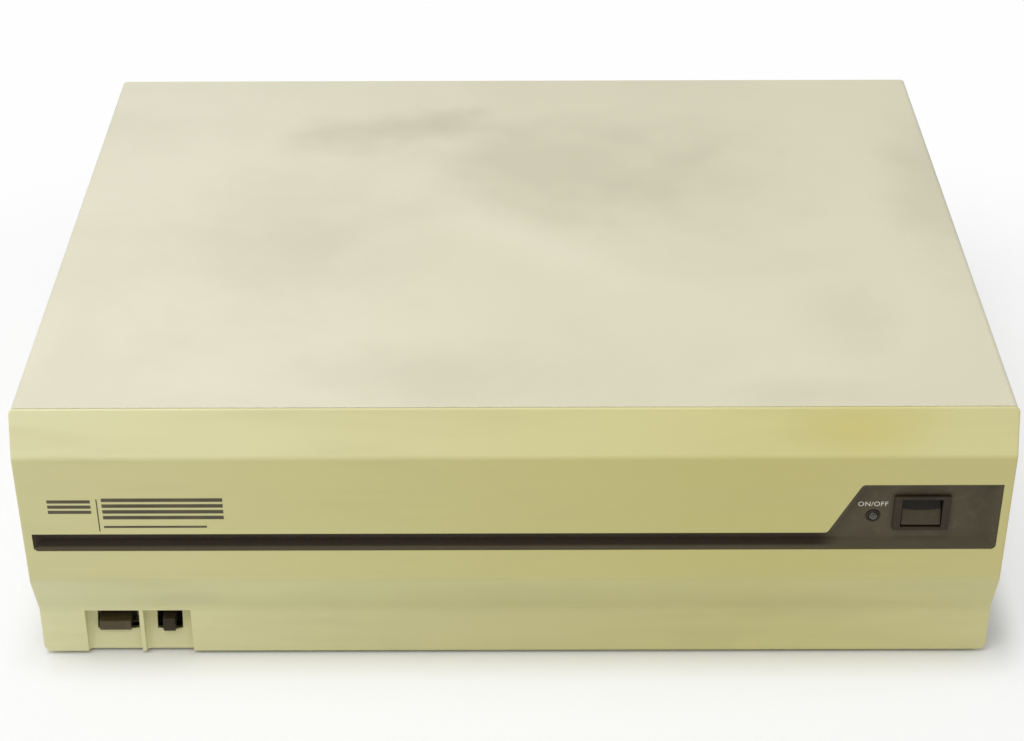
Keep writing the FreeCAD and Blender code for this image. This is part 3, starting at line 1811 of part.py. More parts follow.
def heat_sink(left, back, low):
    """A finned extrusion standing on the supply's board."""
    body = new_body("PsuHeatSink")
    comb = sketch_on(body, "XY_Plane", low)
    root = back - size.sink_base
    tip = root - size.sink_fin_deep
    count = whole(size.sink_fin_count)
    pitch = (size.sink_wide - size.sink_fin) / (size.sink_fin_count - 1)
    corners = [(left, back)]
    for index in range(count):
        near = left + pitch * index
        far = near + size.sink_fin
        if index:
            corners.append((near, root))
        corners += [(near, tip), (far, tip)]
        if index < count - 1:
            corners.append((far, root))
    corners.append((left + size.sink_wide, back))
    outline(comb, corners)
    pad(comb, size.sink_high)
    return node("psu_heat_sink", body)


def fan_frame():
    """The fan's moulded frame: a square duct with a spoked motor seat at its inner end."""
    body = new_body("FanFrame")
    wide = half(size.fan_size)
    square = sketch_on(body, "XZ_Plane")
    rectangle(square, -wide, -wide, wide, wide)
    ring(square, ZERO, ZERO, fan_bore)
    pad(square, size.fan_deep, back=True)
    seat = sketch_on(body, "XZ_Plane")
    ring(seat, ZERO, ZERO, size.fan_hub_radius)
    pad(seat, size.fan_back_thick, back=True)
    spokes = half(size.fan_spoke)
    reach = fan_bore + size.trim_wall
    for across, up in ((reach, spokes), (spokes, reach)):
        bar = sketch_on(body, "XZ_Plane")
        rectangle(bar, -across, -up, across, up)
        pad(bar, size.fan_back_thick, back=True)
    bores = sketch_on(body, "XZ_Plane", size.overrun)
    ring(bores, ZERO, ZERO, size.fan_shaft_radius + size.pin_clearance)
    pocket(bores, size.fan_back_thick + size.overrun, back=False)
    holes = sketch_on(body, "XZ_Plane", size.overrun)
    for side in (-1, 1):
        for level in (-1, 1):
            spot = (fan_screw_half * side, fan_screw_half * level)
            ring(holes, spot[0], spot[1], size.screw_radius + size.hole_gap)
    pocket(holes, size.fan_deep + twice(size.overrun), back=False)
    return node("fan_frame", place(body, (fan_across, fan_front, fan_up)))


def fan_rotor():
    """The fan's rotor: a hub on a shaft, with blades that twist as they reach out."""
    body = new_body("FanRotor")
    near = size.fan_back_thick + size.fit_gap
    section = sketch_on(body, "YZ_Plane")
    shaft = size.fan_shaft_radius
    outline(
        section,
        [
            (ZERO, ZERO),
            (ZERO, shaft),
            (near, shaft),
            (near, size.fan_hub_radius),
            (near + size.fan_hub_deep - half(size.fan_back_thick), size.fan_hub_radius),
            (near + size.fan_hub_deep, size.fan_hub_radius - half(size.fan_back_thick)),
            (near + size.fan_hub_deep, ZERO),
        ],
    )
    revolve(section, "H_Axis")
    middle = near + half(size.fan_hub_deep)
    stations = []
    reaches = (
        (size.fan_hub_radius - size.fan_back_thick, size.fan_root_run, size.fan_root_rise),
        (fan_blade_reach, size.fan_blade_run, size.fan_blade_rise),
    )
    for reach, run, rise in reaches:
        station = sketch_on(body, "XY_Plane", reach)
        thick = size.fan_blade_thick
        outline(
            station,
            [
                (-half(run), middle - half(rise)),
                (half(run), middle + half(rise) - thick),
                (half(run), middle + half(rise)),
                (-half(run), middle - half(rise) + thick),
            ],
        )
        stations.append(station)
    blade = body.newObject("PartDesign::AdditiveLoft", "Blade")
    blade.Profile = stations[0]
    blade.Sections = stations[1:]
    blade.Ruled = True
    wheel = body.newObject("PartDesign::PolarPattern", "Blades")
    wheel.Originals = [blade]
    wheel.Axis = ([item for item in body.Origin.OriginFeatures if item.Role == "Y_Axis"][0], [""])
    wheel.Angle = 360
    bind(wheel, "Occurrences", size.fan_blade_count)
    body.Tip = wheel
    return node("fan_rotor", place(body, (fan_across, fan_front, fan_up)))


def fan_guard():
    """The finger guard: a thin square plate with rings on a cross inside its bore."""
    body = new_body("FanGuard")
    thick = size.guard_thick
    wide = half(size.fan_size)
    plate = sketch_on(body, "XZ_Plane", -thick)
    rectangle(plate, -wide, -wide, wide, wide)
    ring(plate, ZERO, ZERO, fan_bore)
    pad(plate, thick)
    for index in range(1, whole(size.guard_count) + 1):
        outer = fan_bore - guard_step * index
        rim = sketch_on(body, "XZ_Plane", -thick)
        ring(rim, ZERO, ZERO, outer)
        ring(rim, ZERO, ZERO, outer - size.guard_bar)
        pad(rim, thick)
    bar = half(size.guard_bar)
    reach = fan_bore + size.guard_bar
    for across, up in ((reach, bar), (bar, reach)):
        cross = sketch_on(body, "XZ_Plane", -thick)
        rectangle(cross, -across, -up, across, up)
        pad(cross, thick)
    holes = sketch_on(body, "XZ_Plane", size.overrun)
    for side in (-1, 1):
        for level in (-1, 1):
            spot = (fan_screw_half * side, fan_screw_half * level)
            ring(holes, spot[0], spot[1], size.screw_radius + size.hole_gap)
    pocket(holes, twice(size.overrun))
    return node("fan_guard", place(body, (fan_across, panel_back, fan_up)))


def fan_screws():
    """The four long screws that hold guard, panel and fan together."""
    screws = []
    for side in (-1, 1):
        for level in (-1, 1):
            spot = (
                fan_across + fan_screw_half * side,
                panel_back + size.guard_thick,
                fan_up + fan_screw_half * level,
            )
            length = twice(size.screw_long)
            head = (size.screw_head_radius, size.screw_head_high)
            screws.append(screw(spot, "y", -1, head[0], head[1], length))
    return node("fan_screws", group(screws))


def power_inlet():
    """The three-pin mains inlet in the rear panel, and its pins."""
    across, up = inlet_across, size.inlet_up
    wide, tall = half(size.inlet_wide), half(size.inlet_high)
    flange_wide, flange_tall = half(size.inlet_flange_wide), half(size.inlet_flange_high)
    face = panel_back + size.inlet_flange
    shell = fused(
        block_between(
            (across - wide, face - size.inlet_deep, up - tall), (across + wide, face, up + tall)
        ),
        block_between(
            (across - flange_wide, panel_back, up - flange_tall),
            (across + flange_wide, face, up + flange_tall),
        ),
    )
    wall = size.inlet_wall
    mouth = block_between(
        (across - wide + wall, face - size.inlet_mouth, up - tall + wall),
        (across + wide - wall, face + size.overrun, up + tall - wall),
    )
    node("power_inlet", cut(shell, mouth))
    pins = []
    for step in (-1, 0, 1):
        lift = size.pin_lift if step == 0 else -size.pin_lift
        low = (
            across + size.pin_pitch * step - half(size.pin_thick),
            face - size.inlet_mouth,
            up + lift - half(size.pin_wide),
        )
        pins.append(block(low, (size.pin_thick, size.pin_long, size.pin_wide)))
    node("inlet_pins", group(pins))


def serial_port():
    """The 25-way socket: a flange, a shell with slanted ends and the two jack posts."""
    body = new_body("SerialPort")
    across, up = serial_across, size.port_up
    flange = sketch_on(body, "XZ_Plane", -(panel_back + size.sheet_steel))
    wide, tall = half(size.serial_flange_wide), half(size.serial_flange_high)
    rectangle(flange, across - wide, up - tall, across + wide, up + tall)
    pad(flange, size.sheet_steel)
    shell = sketch_on(body, "XZ_Plane", -(panel_back + size.serial_proud))
    wide, tall = half(size.serial_shell_wide), half(size.serial_shell_high)
    outline(
        shell,
        [
            (across - wide + size.serial_slope, up - tall),
            (across + wide - size.serial_slope, up - tall),
            (across + wide, up + tall),
            (across - wide, up + tall),
        ],
    )
    pad(shell, size.serial_proud + size.port_behind)
    holes = sketch_on(body, "XZ_Plane", -(panel_back + size.overrun))
    for side in (-1, 1):
        stud = size.screw_radius + size.hole_gap
        ring(holes, across + size.jack_half * side, up, stud)
    pocket(holes, twice(size.overrun), back=True)
    node("serial_port", body)
    posts = []
    for side in (-1, 1):
        spot = (across + size.jack_half * side, panel_back + size.sheet_steel, up)
        hexagon = doc.addObject("Part::Prism", "JackPost")
        hexagon.Polygon = 6
        bind(hexagon, "Circumradius", size.jack_radius)
        bind(hexagon, "Height", size.jack_long)
        place(hexagon, spot)
        hexagon.Placement = FreeCAD.Placement(hexagon.Placement.Base, TURNS["y"])
        stud_foot = (spot[0], spot[1] - size.screw_long, up)
        stud = rod(stud_foot, size.screw_radius, size.screw_long, "y")
        bore_foot = (spot[0], spot[1] + size.jack_long - size.jack_bore_deep, up)
        bore = rod(bore_foot, size.jack_bore, size.jack_bore_deep + size.overrun, "y")
        posts.append(cut(fused(hexagon, stud), bore))
    node("jack_posts", group(posts))


def printer_port():
    """The ribbon-type printer socket with its tongue."""
    across, up = printer_across, size.port_up
    wide, tall = half(size.printer_wide), half(size.printer_high)
    plate = block_between(
        (across - wide, panel_back, up - tall),
        (across + wide, panel_back + size.sheet_steel, up + tall),
    )
    mouth_wide = wide - size.port_mouth
    mouth_tall = half(size.printer_mouth_high)
    face = panel_back + size.port_proud
    shell = block_between(
        (across - mouth_wide, panel_back - size.port_behind, up - mouth_tall),
        (across + mouth_wide, face, up + mouth_tall),
    )
    wall = size.sheet_steel
    room = block_between(
        (across - mouth_wide + wall, panel_back - size.port_mouth, up - mouth_tall + wall),
        (across + mouth_wide - wall, face + size.overrun, up + mouth_tall - wall),
    )
    tongue_wide = mouth_wide - size.printer_tongue_inset
    tongue_tall = half(size.printer_tongue) - half(wall)
    tongue = block_between(
        (across - tongue_wide, panel_back - size.port_mouth, up - tongue_tall),
        (across + tongue_wide, face - wall, up + tongue_tall),
    )
    return node("printer_port", fused(cut(fused(plate, shell), room), tongue))


def video_ports():
    """Three round sockets above the other ports, each a collar round an insulating core."""
    sockets = []
    for index in range(whole(size.video_count)):
        body = new_body("VideoPort")
        section = sketch_on(body, "YZ_Plane")
        face = size.port_proud
        bore = size.video_bore - size.sheet_steel
        core = bore - size.sheet_steel
        outline(
            section,
            [
                (-size.port_behind, ZERO),
                (-size.port_behind, size.video_bore),
                (ZERO, size.video_bore),
                (ZERO, size.video_radius),
                (size.sheet_steel, size.video_radius),
                (size.sheet_steel, size.video_bore),
                (face, size.video_bore),
                (face, bore),
                (ZERO, bore),
                (ZERO, core),
                (face - size.sheet_steel, core),
                (face - size.sheet_steel, ZERO),
            ],
        )
        revolve(section, "H_Axis")
        across = video_first + video_pitch * index
        sockets.append(place(body, (across, panel_back, size.video_up)))
    return node("video_ports", group(sockets))


def speaker():
    """The small loudspeaker that faces down over its holes: a dished frame and a magnet."""
    body = new_body("SpeakerFrame")
    section = sketch_on(body, "XZ_Plane")
    wall = size.speaker_rim
    outline(
        section,
        [
            (size.speaker_waist, ZERO),
            (size.speaker_radius, ZERO),
            (size.speaker_radius, wall),
            (size.speaker_radius - wall, wall),
            (size.speaker_waist, size.speaker_high),
            (ZERO, size.speaker_high),
            (ZERO, size.speaker_high - wall),
            (size.speaker_waist - wall, size.speaker_high - wall),
            (size.speaker_radius - twice(wall), half(wall)),
            (size.speaker_waist, half(wall)),
        ],
    )
    spot = (speaker_across, speaker_back, base_top)
    revolve(section, "V_Axis")
    node("speaker_frame", place(body, spot))
    magnet = rod(
        (speaker_across, speaker_back, base_top + size.speaker_high),
        size.magnet_radius,
        size.magnet_high,
    )
    node("speaker_magnet", magnet)


def build_all():
    """Every sub-part, from the front to the back."""
    front_bezel()
    front_trim_panel()
    power_switch_frame()
    power_switch_body()
    power_rocker()
    switch_terminals()
    power_light()
    light_holder()
    front_board()
    reset_button()
    reset_switch_body()
    keyboard_socket()
    keyboard_contacts()
    top_cover()
    base_chassis()
    rear_panel()
    rubber_feet()
    case_screws()
    main_board()
    board_posts()
    board_parts()
    power_harness()
    card_cage()
    slot_hardware()
    psu_case()
    psu_cover()
    psu_parts()
    fan_frame()
    fan_rotor()
    fan_guard()
    fan_screws()
    power_inlet()
    serial_port()
    printer_port()
    video_ports()
    speaker()


def check_all():
    """Stop before anything is written if one object failed or one shape is unsound."""
    for item in doc.Objects:
        if "Invalid" in item.State or "Error" in item.State:
            raise RuntimeError("%s failed: %s" % (item.Label, item.State))
    for part in nodes:
        shape = part.Shape
        if shape.isNull() or not shape.isValid() or not shape.Solids:
            raise RuntimeError("%s has no sound solid" % part.Label)


def write_all():
    """Write each sub-part to its own file."""
    os.makedirs("parts", exist_ok=True)
    for part in nodes:
        part.Shape.exportStep("parts/%s.step" % part.Label)
        print("%-20s %2d solids" % (part.Label, len(part.Shape.Solids)))
    print("%d nodes" % len(nodes))


build_all()
doc.recompute()
check_all()
write_all()
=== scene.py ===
"""Looks for the main unit of an early desktop home computer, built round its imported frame.

Everything is in metres in the frame's own axes: X to the right seen from the front, the
front towards -Y and Z up. Each sub-assembly is a class with its sizes as fields.
"""

import json
import logging
import math
from dataclasses import dataclass
from enum import Enum
from typing import Any, Sequence

import bmesh
import bpy
from mathutils import Euler, Matrix, Vector

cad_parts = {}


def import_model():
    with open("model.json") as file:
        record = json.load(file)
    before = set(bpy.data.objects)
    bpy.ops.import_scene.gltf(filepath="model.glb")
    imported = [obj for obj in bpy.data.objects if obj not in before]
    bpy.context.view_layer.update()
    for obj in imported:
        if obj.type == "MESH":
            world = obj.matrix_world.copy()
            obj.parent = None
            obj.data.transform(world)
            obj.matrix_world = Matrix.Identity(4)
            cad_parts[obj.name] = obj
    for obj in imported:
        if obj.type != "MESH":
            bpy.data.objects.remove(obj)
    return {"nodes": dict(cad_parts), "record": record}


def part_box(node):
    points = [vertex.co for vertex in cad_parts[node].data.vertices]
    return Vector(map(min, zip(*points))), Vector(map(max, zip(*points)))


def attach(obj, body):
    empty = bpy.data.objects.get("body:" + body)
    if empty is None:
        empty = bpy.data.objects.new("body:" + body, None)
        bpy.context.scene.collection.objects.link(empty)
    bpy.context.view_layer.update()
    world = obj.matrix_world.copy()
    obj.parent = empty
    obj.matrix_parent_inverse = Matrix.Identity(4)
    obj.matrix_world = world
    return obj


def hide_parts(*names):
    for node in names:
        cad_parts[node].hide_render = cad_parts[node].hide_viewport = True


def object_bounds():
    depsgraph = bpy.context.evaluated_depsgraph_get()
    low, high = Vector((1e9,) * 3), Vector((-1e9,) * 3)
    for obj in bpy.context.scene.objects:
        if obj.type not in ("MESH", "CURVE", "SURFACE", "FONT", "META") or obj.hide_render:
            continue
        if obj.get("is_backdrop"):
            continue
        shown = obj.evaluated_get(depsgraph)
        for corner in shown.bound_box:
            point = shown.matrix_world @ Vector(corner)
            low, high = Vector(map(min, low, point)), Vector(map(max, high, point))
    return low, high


LOG = logging.getLogger("dressing")
MM = 0.001
EDGE_MARK = "edge"
FACING_MARK = "facing"
LOOK_PREFIX = "look_"
FULL_TURN = 2 * math.pi
MERGE_DISTANCE = 0.001 * MM
FLAT_ANGLE = math.radians(0.6)
RAG_SCALE = 30.0
RAG_DETAIL = 6.0
NOISE_MIDDLE = 0.5
WEAR_DETAIL = 4.0
WEAR_SPAN = (0.42, 0.62)
RIM_SHARE = 0.98

Spot = tuple[float, float, float]
Feed = dict[str | int, Any]


class Body(Enum):
    """The bodies that pieces ride on."""

    CASE = "case"
    ROCKER = "power_rocker"
    RESET = "reset_button"
    FAN = "fan_rotor"


class Axis(Enum):
    """The directions that turned shapes stand along."""

    X = (1.0, 0.0, 0.0)
    Y = (0.0, 1.0, 0.0)
    Z = (0.0, 0.0, 1.0)

    @property
    def turn(self) -> Matrix:
        """The rotation that takes +Z onto this direction."""
        return Vector((0, 0, 1)).rotation_difference(Vector(self.value)).to_matrix().to_4x4()


@dataclass(frozen=True)
class Tone:
    """A colour as a screen shows it, from 0 to 255."""

    red: float
    green: float
    blue: float

    @property
    def linear(self) -> tuple[float, float, float, float]:
        """The same colour in the linear values that shaders use."""
        return (*(self._straight(part) for part in (self.red, self.green, self.blue)), 1.0)

    @staticmethod
    def _straight(part: float) -> float:
        """One channel without the display's curve."""
        share = part / 255
        return share / 12.92 if share <= 0.04045 else ((share + 0.055) / 1.055) ** 2.4


class Graph:
    """Writes nodes and their links into a node tree."""

    def __init__(self, tree: bpy.types.NodeTree) -> None:
        """Start on a tree.

        Args:
            tree: The node tree to write into.
        """
        self.tree = tree

    def add(self, kind: str, feeds: Feed | None = None, **settings: Any) -> bpy.types.Node:
        """Add one node.

        Args:
            kind: The node's type name.
            feeds: What goes into its sockets, by name or by index: a value or a socket.
            settings: Properties set before the sockets are fed.

        Returns:
            The new node.
        """
        node = self.tree.nodes.new(kind)
        for name, value in settings.items():
            setattr(node, name, value)
        for key, value in (feeds or {}).items():
            self.feed(node, key, value)
        return node

    def feed(self, node: bpy.types.Node, key: str | int, value: Any) -> None:
        """Link or set one input socket of a node.

        Args:
            node: The node.
            key: The socket's name, or its index where names repeat.
            value: An output socket to link, several of them, or a plain value.
        """
        socket = node.inputs[key] if isinstance(key, int) else self._named(node.inputs, key)
        if isinstance(value, bpy.types.NodeSocket):
            self.tree.links.new(value, socket)
        elif isinstance(value, list):
            for part in value:
                self.tree.links.new(part, socket)
        else:
            socket.default_value = value

    @staticmethod
    def _named(sockets: Sequence[bpy.types.NodeSocket], name: str) -> bpy.types.NodeSocket:
        """The socket in use that has a name."""
        return next(socket for socket in sockets if socket.name == name and socket.enabled)

    def out(self, kind: str, feeds: Feed | None = None, **settings: Any) -> bpy.types.NodeSocket:
        """Add one node and give the first output in use."""
        node = self.add(kind, feeds, **settings)
        return next(socket for socket in node.outputs if socket.enabled)

    def math(self, operation: str, *values: Any) -> bpy.types.NodeSocket:
        """A math node over one, two or three values."""
        return self.out("ShaderNodeMath", dict(enumerate(values)), operation=operation)

    def split(self, vector: bpy.types.NodeSocket) -> list[bpy.types.NodeSocket]:
        """The three parts of a vector."""
        return list(self.add("ShaderNodeSeparateXYZ", {0: vector}).outputs)


class SurfaceGraph(Graph):
    """Writes the shader nodes of one material on object coordinates."""

    def __init__(self, name: str) -> None:
        """Make an empty material with one principled shader.

        Args:
            name: The material's name.
        """
        self.material = bpy.data.materials.new(name)
        self.material.use_nodes = True
        super().__init__(self.material.node_tree)
        self.tree.nodes.clear()
        self.shader = self.add("ShaderNodeBsdfPrincipled")
        output = self.add("ShaderNodeOutputMaterial")
        self.tree.links.new(self.shader.outputs[0], output.inputs["Surface"])
        self.where = self.add("ShaderNodeTexCoord").outputs["Object"]

    def stretched(self, scale: Spot) -> bpy.types.NodeSocket:
        """Object coordinates scaled along each axis."""
        return self.out("ShaderNodeVectorMath", {0: self.where, 1: scale}, operation="MULTIPLY")

    def noise(
        self,
        scale: float,
        detail: float = 3.0,
        vector: bpy.types.NodeSocket | None = None,
        twist: float = 0.0,
    ) -> bpy.types.NodeSocket:
        """Plain noise from 0 to 1.

        Args:
            scale: Patches per metre, or per unit of the vector.
            detail: How many finer layers it has.
            vector: Where it is read, or None for object coordinates.
            twist: How far it is distorted.

        Returns:
            The noise value's socket.
        """
        feeds: Feed = {
            "Vector": vector or self.where,
            "Scale": scale,
            "Detail": detail,
            "Distortion": twist,
        }
        return self.add("ShaderNodeTexNoise", feeds).outputs["Fac"]

    def span(
        self,
        value: bpy.types.NodeSocket,
        start: float,
        end: float,
        low: float = 0.0,
        high: float = 1.0,
        smooth: bool = True,
    ) -> bpy.types.NodeSocket:
        """A value's course from start to end, laid onto low to high and held outside it.

        Args:
            value: The value's socket.
            start: The value that gives low.
            end: The value that gives high.
            low: What is given at the start.
            high: What is given at the end.
            smooth: Whether the course is eased at both ends.

        Returns:
            The new value's socket.
        """
        feeds: Feed = {
            "Value": value,
            "From Min": start,
            "From Max": end,
            "To Min": low,
            "To Max": high,
        }
        kind = "SMOOTHSTEP" if smooth else "LINEAR"
        return self.out("ShaderNodeMapRange", feeds, interpolation_type=kind)

    def blend(self, share: Any, first: Any, second: Any, mode: str = "MIX") -> Any:
        """Two colours mixed by a share.

        Args:
            share: How much of the second, a value or a socket.
            first: A Tone or a colour socket.
            second: A Tone or a colour socket.
            mode: The blend mode.

        Returns:
            The mixed colour's socket.
        """
        colours = [part.linear if isinstance(part, Tone) else part for part in (first, second)]
        feeds: Feed = {"Factor": share, "A": colours[0], "B": colours[1]}
        return self.out("ShaderNodeMix", feeds, data_type="RGBA", blend_type=mode)

    def ramp(self, value: bpy.types.NodeSocket, stops: Sequence[tuple[float, Tone]]) -> Any:
        """A colour that follows a value through several stops.

        Args:
            value: The value's socket, 0 to 1.
            stops: Each place and its tone, in rising order.

        Returns:
            The colour's socket.
        """
        node = self.add("ShaderNodeValToRGB", {"Fac": value})
        points = node.color_ramp.elements
        while len(points) < len(stops):
            points.new(1.0)
        for point, (place, tone) in zip(points, stops):
            point.position = place
            point.color = tone.linear
        return node.outputs["Color"]

    def spot_mask(
        self, centre: Spot, reach: Spot, rag: float, turn: float, core: float
    ) -> bpy.types.NodeSocket:
        """A soft oval patch with a ragged border, 1 in its middle and 0 outside.

        Args:
            centre: The middle of the patch.
            reach: Its half sizes along its own axes.
            rag: How far noise breaks its border up.
            turn: How far it is turned about the upright, in degrees.
            core: The share of its reach that is solid.

        Returns:
            The mask's socket.
        """
        moved = self.out(
            "ShaderNodeVectorMath", {0: self.where, 1: centre}, operation="SUBTRACT"
        )
        feeds: Feed = {"Vector": moved, "Angle": -math.radians(turn)}
        swung = self.out("ShaderNodeVectorRotate", feeds, rotation_type="Z_AXIS")
        scale = tuple(1 / part for part in reach)
        inside = self.out("ShaderNodeVectorMath", {0: swung, 1: scale}, operation="MULTIPLY")
        length = self.add("ShaderNodeVectorMath", {0: inside}, operation="LENGTH").outputs["Value"]
        ragged = self.math("MULTIPLY", self.noise(RAG_SCALE, RAG_DETAIL), rag)
        broken = self.math("ADD", length, ragged)
        lift = rag * NOISE_MIDDLE
        return self.span(broken, 1.0 + lift, core + lift)

    def with_marks(self, colour: Any, stains_and_shade: "Sequence[SoftMark]") -> Any:
        """A colour with every mark laid over it: stains, and painted shade.

        Args:
            colour: The colour's socket.
            stains_and_shade: The marks, stains and painted shade, the lowest first.

        Returns:
            The colour's socket.
        """
        for part in stains_and_shade:
            mask = self.spot_mask(part.centre, part.reach, part.rag, part.turn, part.core)
            colour = self.blend(self.math("MULTIPLY", mask, part.share), colour, part.tone)
        return colour

    def edges(self, breaks: float) -> bpy.types.NodeSocket:
        """Where a piece's rounded edges lie, broken up by noise.

        Args:
            breaks: How fine the noise is, in patches per metre.

        Returns:
            The mask's socket.
        """
        mark = self.add("ShaderNodeAttribute", attribute_name=EDGE_MARK).outputs["Fac"]
        broken = self.span(self.noise(breaks, WEAR_DETAIL), *WEAR_SPAN)
        return self.math("MULTIPLY", mark, broken)

    def finish(
        self,
        colour: Any,
        rough: bpy.types.NodeSocket,
        relief: bpy.types.NodeSocket | None,
        depth: float,
        plain: Feed,
    ) -> bpy.types.Material:
        """Join colour, gloss and relief to the shader.

        Args:
            colour: The colour's socket.
            rough: The roughness's socket.
            relief: The height's socket, 0 to 1, or None.
            depth: How high the relief is, in metres.
            plain: The shader's sockets that are the same all over.

        Returns:
            The finished material.
        """
        self.feed(self.shader, "Base Color", colour)
        self.feed(self.shader, "Roughness", rough)
        for name, value in plain.items():
            self.feed(self.shader, name, value)
        if relief is not None:
            feeds: Feed = {"Strength": 1.0, "Distance": depth, "Height": relief}
            self.feed(self.shader, "Normal", self.add("ShaderNodeBump", feeds).outputs[0])
        return self.material


@dataclass(frozen=True)
class SoftMark:
    """A soft stain or painted shade: where it lies, how large, how strong and which tone."""

    centre: Spot
    reach: Spot
    share: float
    tone: Tone
    rag: float = 0.6
    turn: float = 0.0
    core: float = 0.25


@dataclass(frozen=True)
class Finish:
    """A surface: its tones, its gloss and its grain, each with some variation."""

    name: str
    tone: Tone
    deep: Tone
    patches: float = 40.0
    rough: tuple[float, float] = (0.42, 0.58)
    grain: float = 2200.0
    grain_depth: float = 0.03 * MM
    metal: float = 0.0
    wear: Tone | None = None
    wear_share: float = 0.5
    plain: tuple[tuple[str, float], ...] = ()
    slot: str = ""
    # Stains, and on some finishes painted shade, laid over the colour.
    stains_and_shade: tuple[SoftMark, ...] = ()
    patch_span: tuple[float, float] = (0.35, 0.7)
    gloss_span: tuple[float, float] = (0.3, 0.7)
    gloss_finer: float = 3
    wear_breaks: float = 420.0

    def colour(self, graph: SurfaceGraph) -> Any:
        """The colour all over, with patches of the deeper tone."""
        patches = graph.span(graph.noise(self.patches, detail=5.0), *self.patch_span)
        return graph.blend(patches, self.tone, self.deep)

    def relief(self, graph: SurfaceGraph) -> bpy.types.NodeSocket:
        """The height of the grain."""
        return graph.noise(self.grain, 2.0)

    def material(self) -> bpy.types.Material:
        """Make the material once, and then find it by its name.

        Returns:
            The material.
        """
        made = bpy.data.materials.get(LOOK_PREFIX + self.name)
        if made:
            return made
        graph = SurfaceGraph(LOOK_PREFIX + self.name)
        colour = graph.with_marks(self.colour(graph), self.stains_and_shade)
        if self.wear:
            share = graph.math("MULTIPLY", graph.edges(self.wear_breaks), self.wear_share)
            colour = graph.blend(share, colour, self.wear)
        finer = graph.noise(self.patches * self.gloss_finer, detail=4.0)
        rough = graph.span(finer, *self.gloss_span, *self.rough)
        plain: Feed = {"Metallic": self.metal, **dict(self.plain)}
        return graph.finish(colour, rough, self.relief(graph), self.grain_depth, plain)


@dataclass(frozen=True)
class BakedPaint(Finish):
    """Sheet-metal paint with marks, and painted light: lighter at the left, darker at the right.
    """

    # Painted light: the left tone is lighter and the right darker, as light falls from the left.
    left: Tone = Tone(226, 222, 200)
    right: Tone = Tone(213, 209, 186)
    half_width: float = 0.25
    cloud_scale: float = 7.0
    cloud_twist: float = 0.6
    cloud_span: tuple[float, float] = (0.4, 0.75)
    speck_scale: float = 520.0
    speck_span: tuple[float, float] = (0.71, 0.78)
    deep_share: float = 0.35
    wave_scale: float = 9.0
    wave_high: float = 3.0

    def colour(self, graph: SurfaceGraph) -> Any:
        """The colour with painted light, lighter at the left, and its clouds and specks.

        Args:
            graph: The material's nodes.

        Returns:
            The colour's socket.
        """
        across = graph.span(graph.split(graph.where)[0], -self.half_width, self.half_width)
        sides = graph.ramp(across, ((0.0, self.left), (0.5, self.tone), (1.0, self.right)))
        drift = graph.noise(self.cloud_scale, detail=4.0, twist=self.cloud_twist)
        cloud = graph.span(drift, *self.cloud_span, 0.0, self.deep_share)
        colour = graph.blend(cloud, sides, self.deep)
        dots = graph.noise(self.speck_scale, detail=2.0)
        speck = graph.span(dots, *self.speck_span, 0.0, self.deep_share)
        return graph.blend(speck, colour, self.deep)

    def relief(self, graph: SurfaceGraph) -> bpy.types.NodeSocket:
        """The stipple of the paint over a slight unevenness of the sheet.

        Args:
            graph: The material's nodes.

        Returns:
            The height's socket.
        """
        stipple = graph.noise(self.grain, detail=2.0)
        wave = graph.math("MULTIPLY", graph.noise(self.wave_scale, detail=1.0), self.wave_high)
        return graph.math("ADD", stipple, wave)


@dataclass(frozen=True)
class AgedPlastic(Finish):
    """Plastic yellowed by light along its length; its tones by height partly painted shade."""

    stops: tuple[tuple[float, Tone], ...] = ()
    # Tones by height for the front's facets: partly yellowing, partly painted shade.
    shades: tuple[tuple[float, Tone], ...] = ()
    height: float = 0.16
    half_width: float = 0.25
    streak_stretch: Spot = (9.0, 30.0, 60.0)
    streak_twist: float = 0.4
    streak_span: tuple[float, float] = (0.45, 0.8)
    streak_share: float = 0.3

    def colour(self, graph: SurfaceGraph) -> Any:
        """The yellowing from left to right, tones by height partly painted shade, and streaks.

        Args:
            graph: The material's nodes.

        Returns:
            The colour's socket.
        """
        across = graph.span(
            graph.split(graph.where)[0], -self.half_width, self.half_width, smooth=False
        )
        colour = graph.ramp(across, self.stops)
        up = graph.math("DIVIDE", graph.split(graph.where)[2], self.height)
        shade = graph.ramp(up, [(place / self.height, tone) for place, tone in self.shades])
        colour = graph.blend(1.0, colour, shade, "MULTIPLY")
        course = graph.stretched(self.streak_stretch)
        streak = graph.noise(1.0, 4.0, course, self.streak_twist)
        share = graph.span(streak, *self.streak_span, 0.0, self.streak_share)
        return graph.blend(share, colour, self.deep)


@dataclass(frozen=True)
class DustyPlastic(Finish):
    """Dark moulded plastic with pale dust in its grain."""

    dust: Tone = Tone(144, 134, 104)
    film_scale: float = 160.0
    film_span: tuple[float, float] = (0.5, 0.85)
    film_share: float = 0.18
    speck_scale: float = 1400.0
    speck_span: tuple[float, float] = (0.7, 0.78)
    speck_share: float = 0.25

    def colour(self, graph: SurfaceGraph) -> Any:
        """The dark tone with a thin broken film of dust.

        Args:
            graph: The material's nodes.

        Returns:
            The colour's socket.
        """
        base = super().colour(graph)
        haze = graph.noise(self.film_scale, detail=6.0)
        film = graph.span(haze, *self.film_span, 0.0, self.film_share)
        dots = graph.noise(self.speck_scale, detail=1.0)
        speck = graph.span(dots, *self.speck_span, 0.0, self.speck_share)
        return graph.blend(graph.math("MAXIMUM", film, speck), base, self.dust)


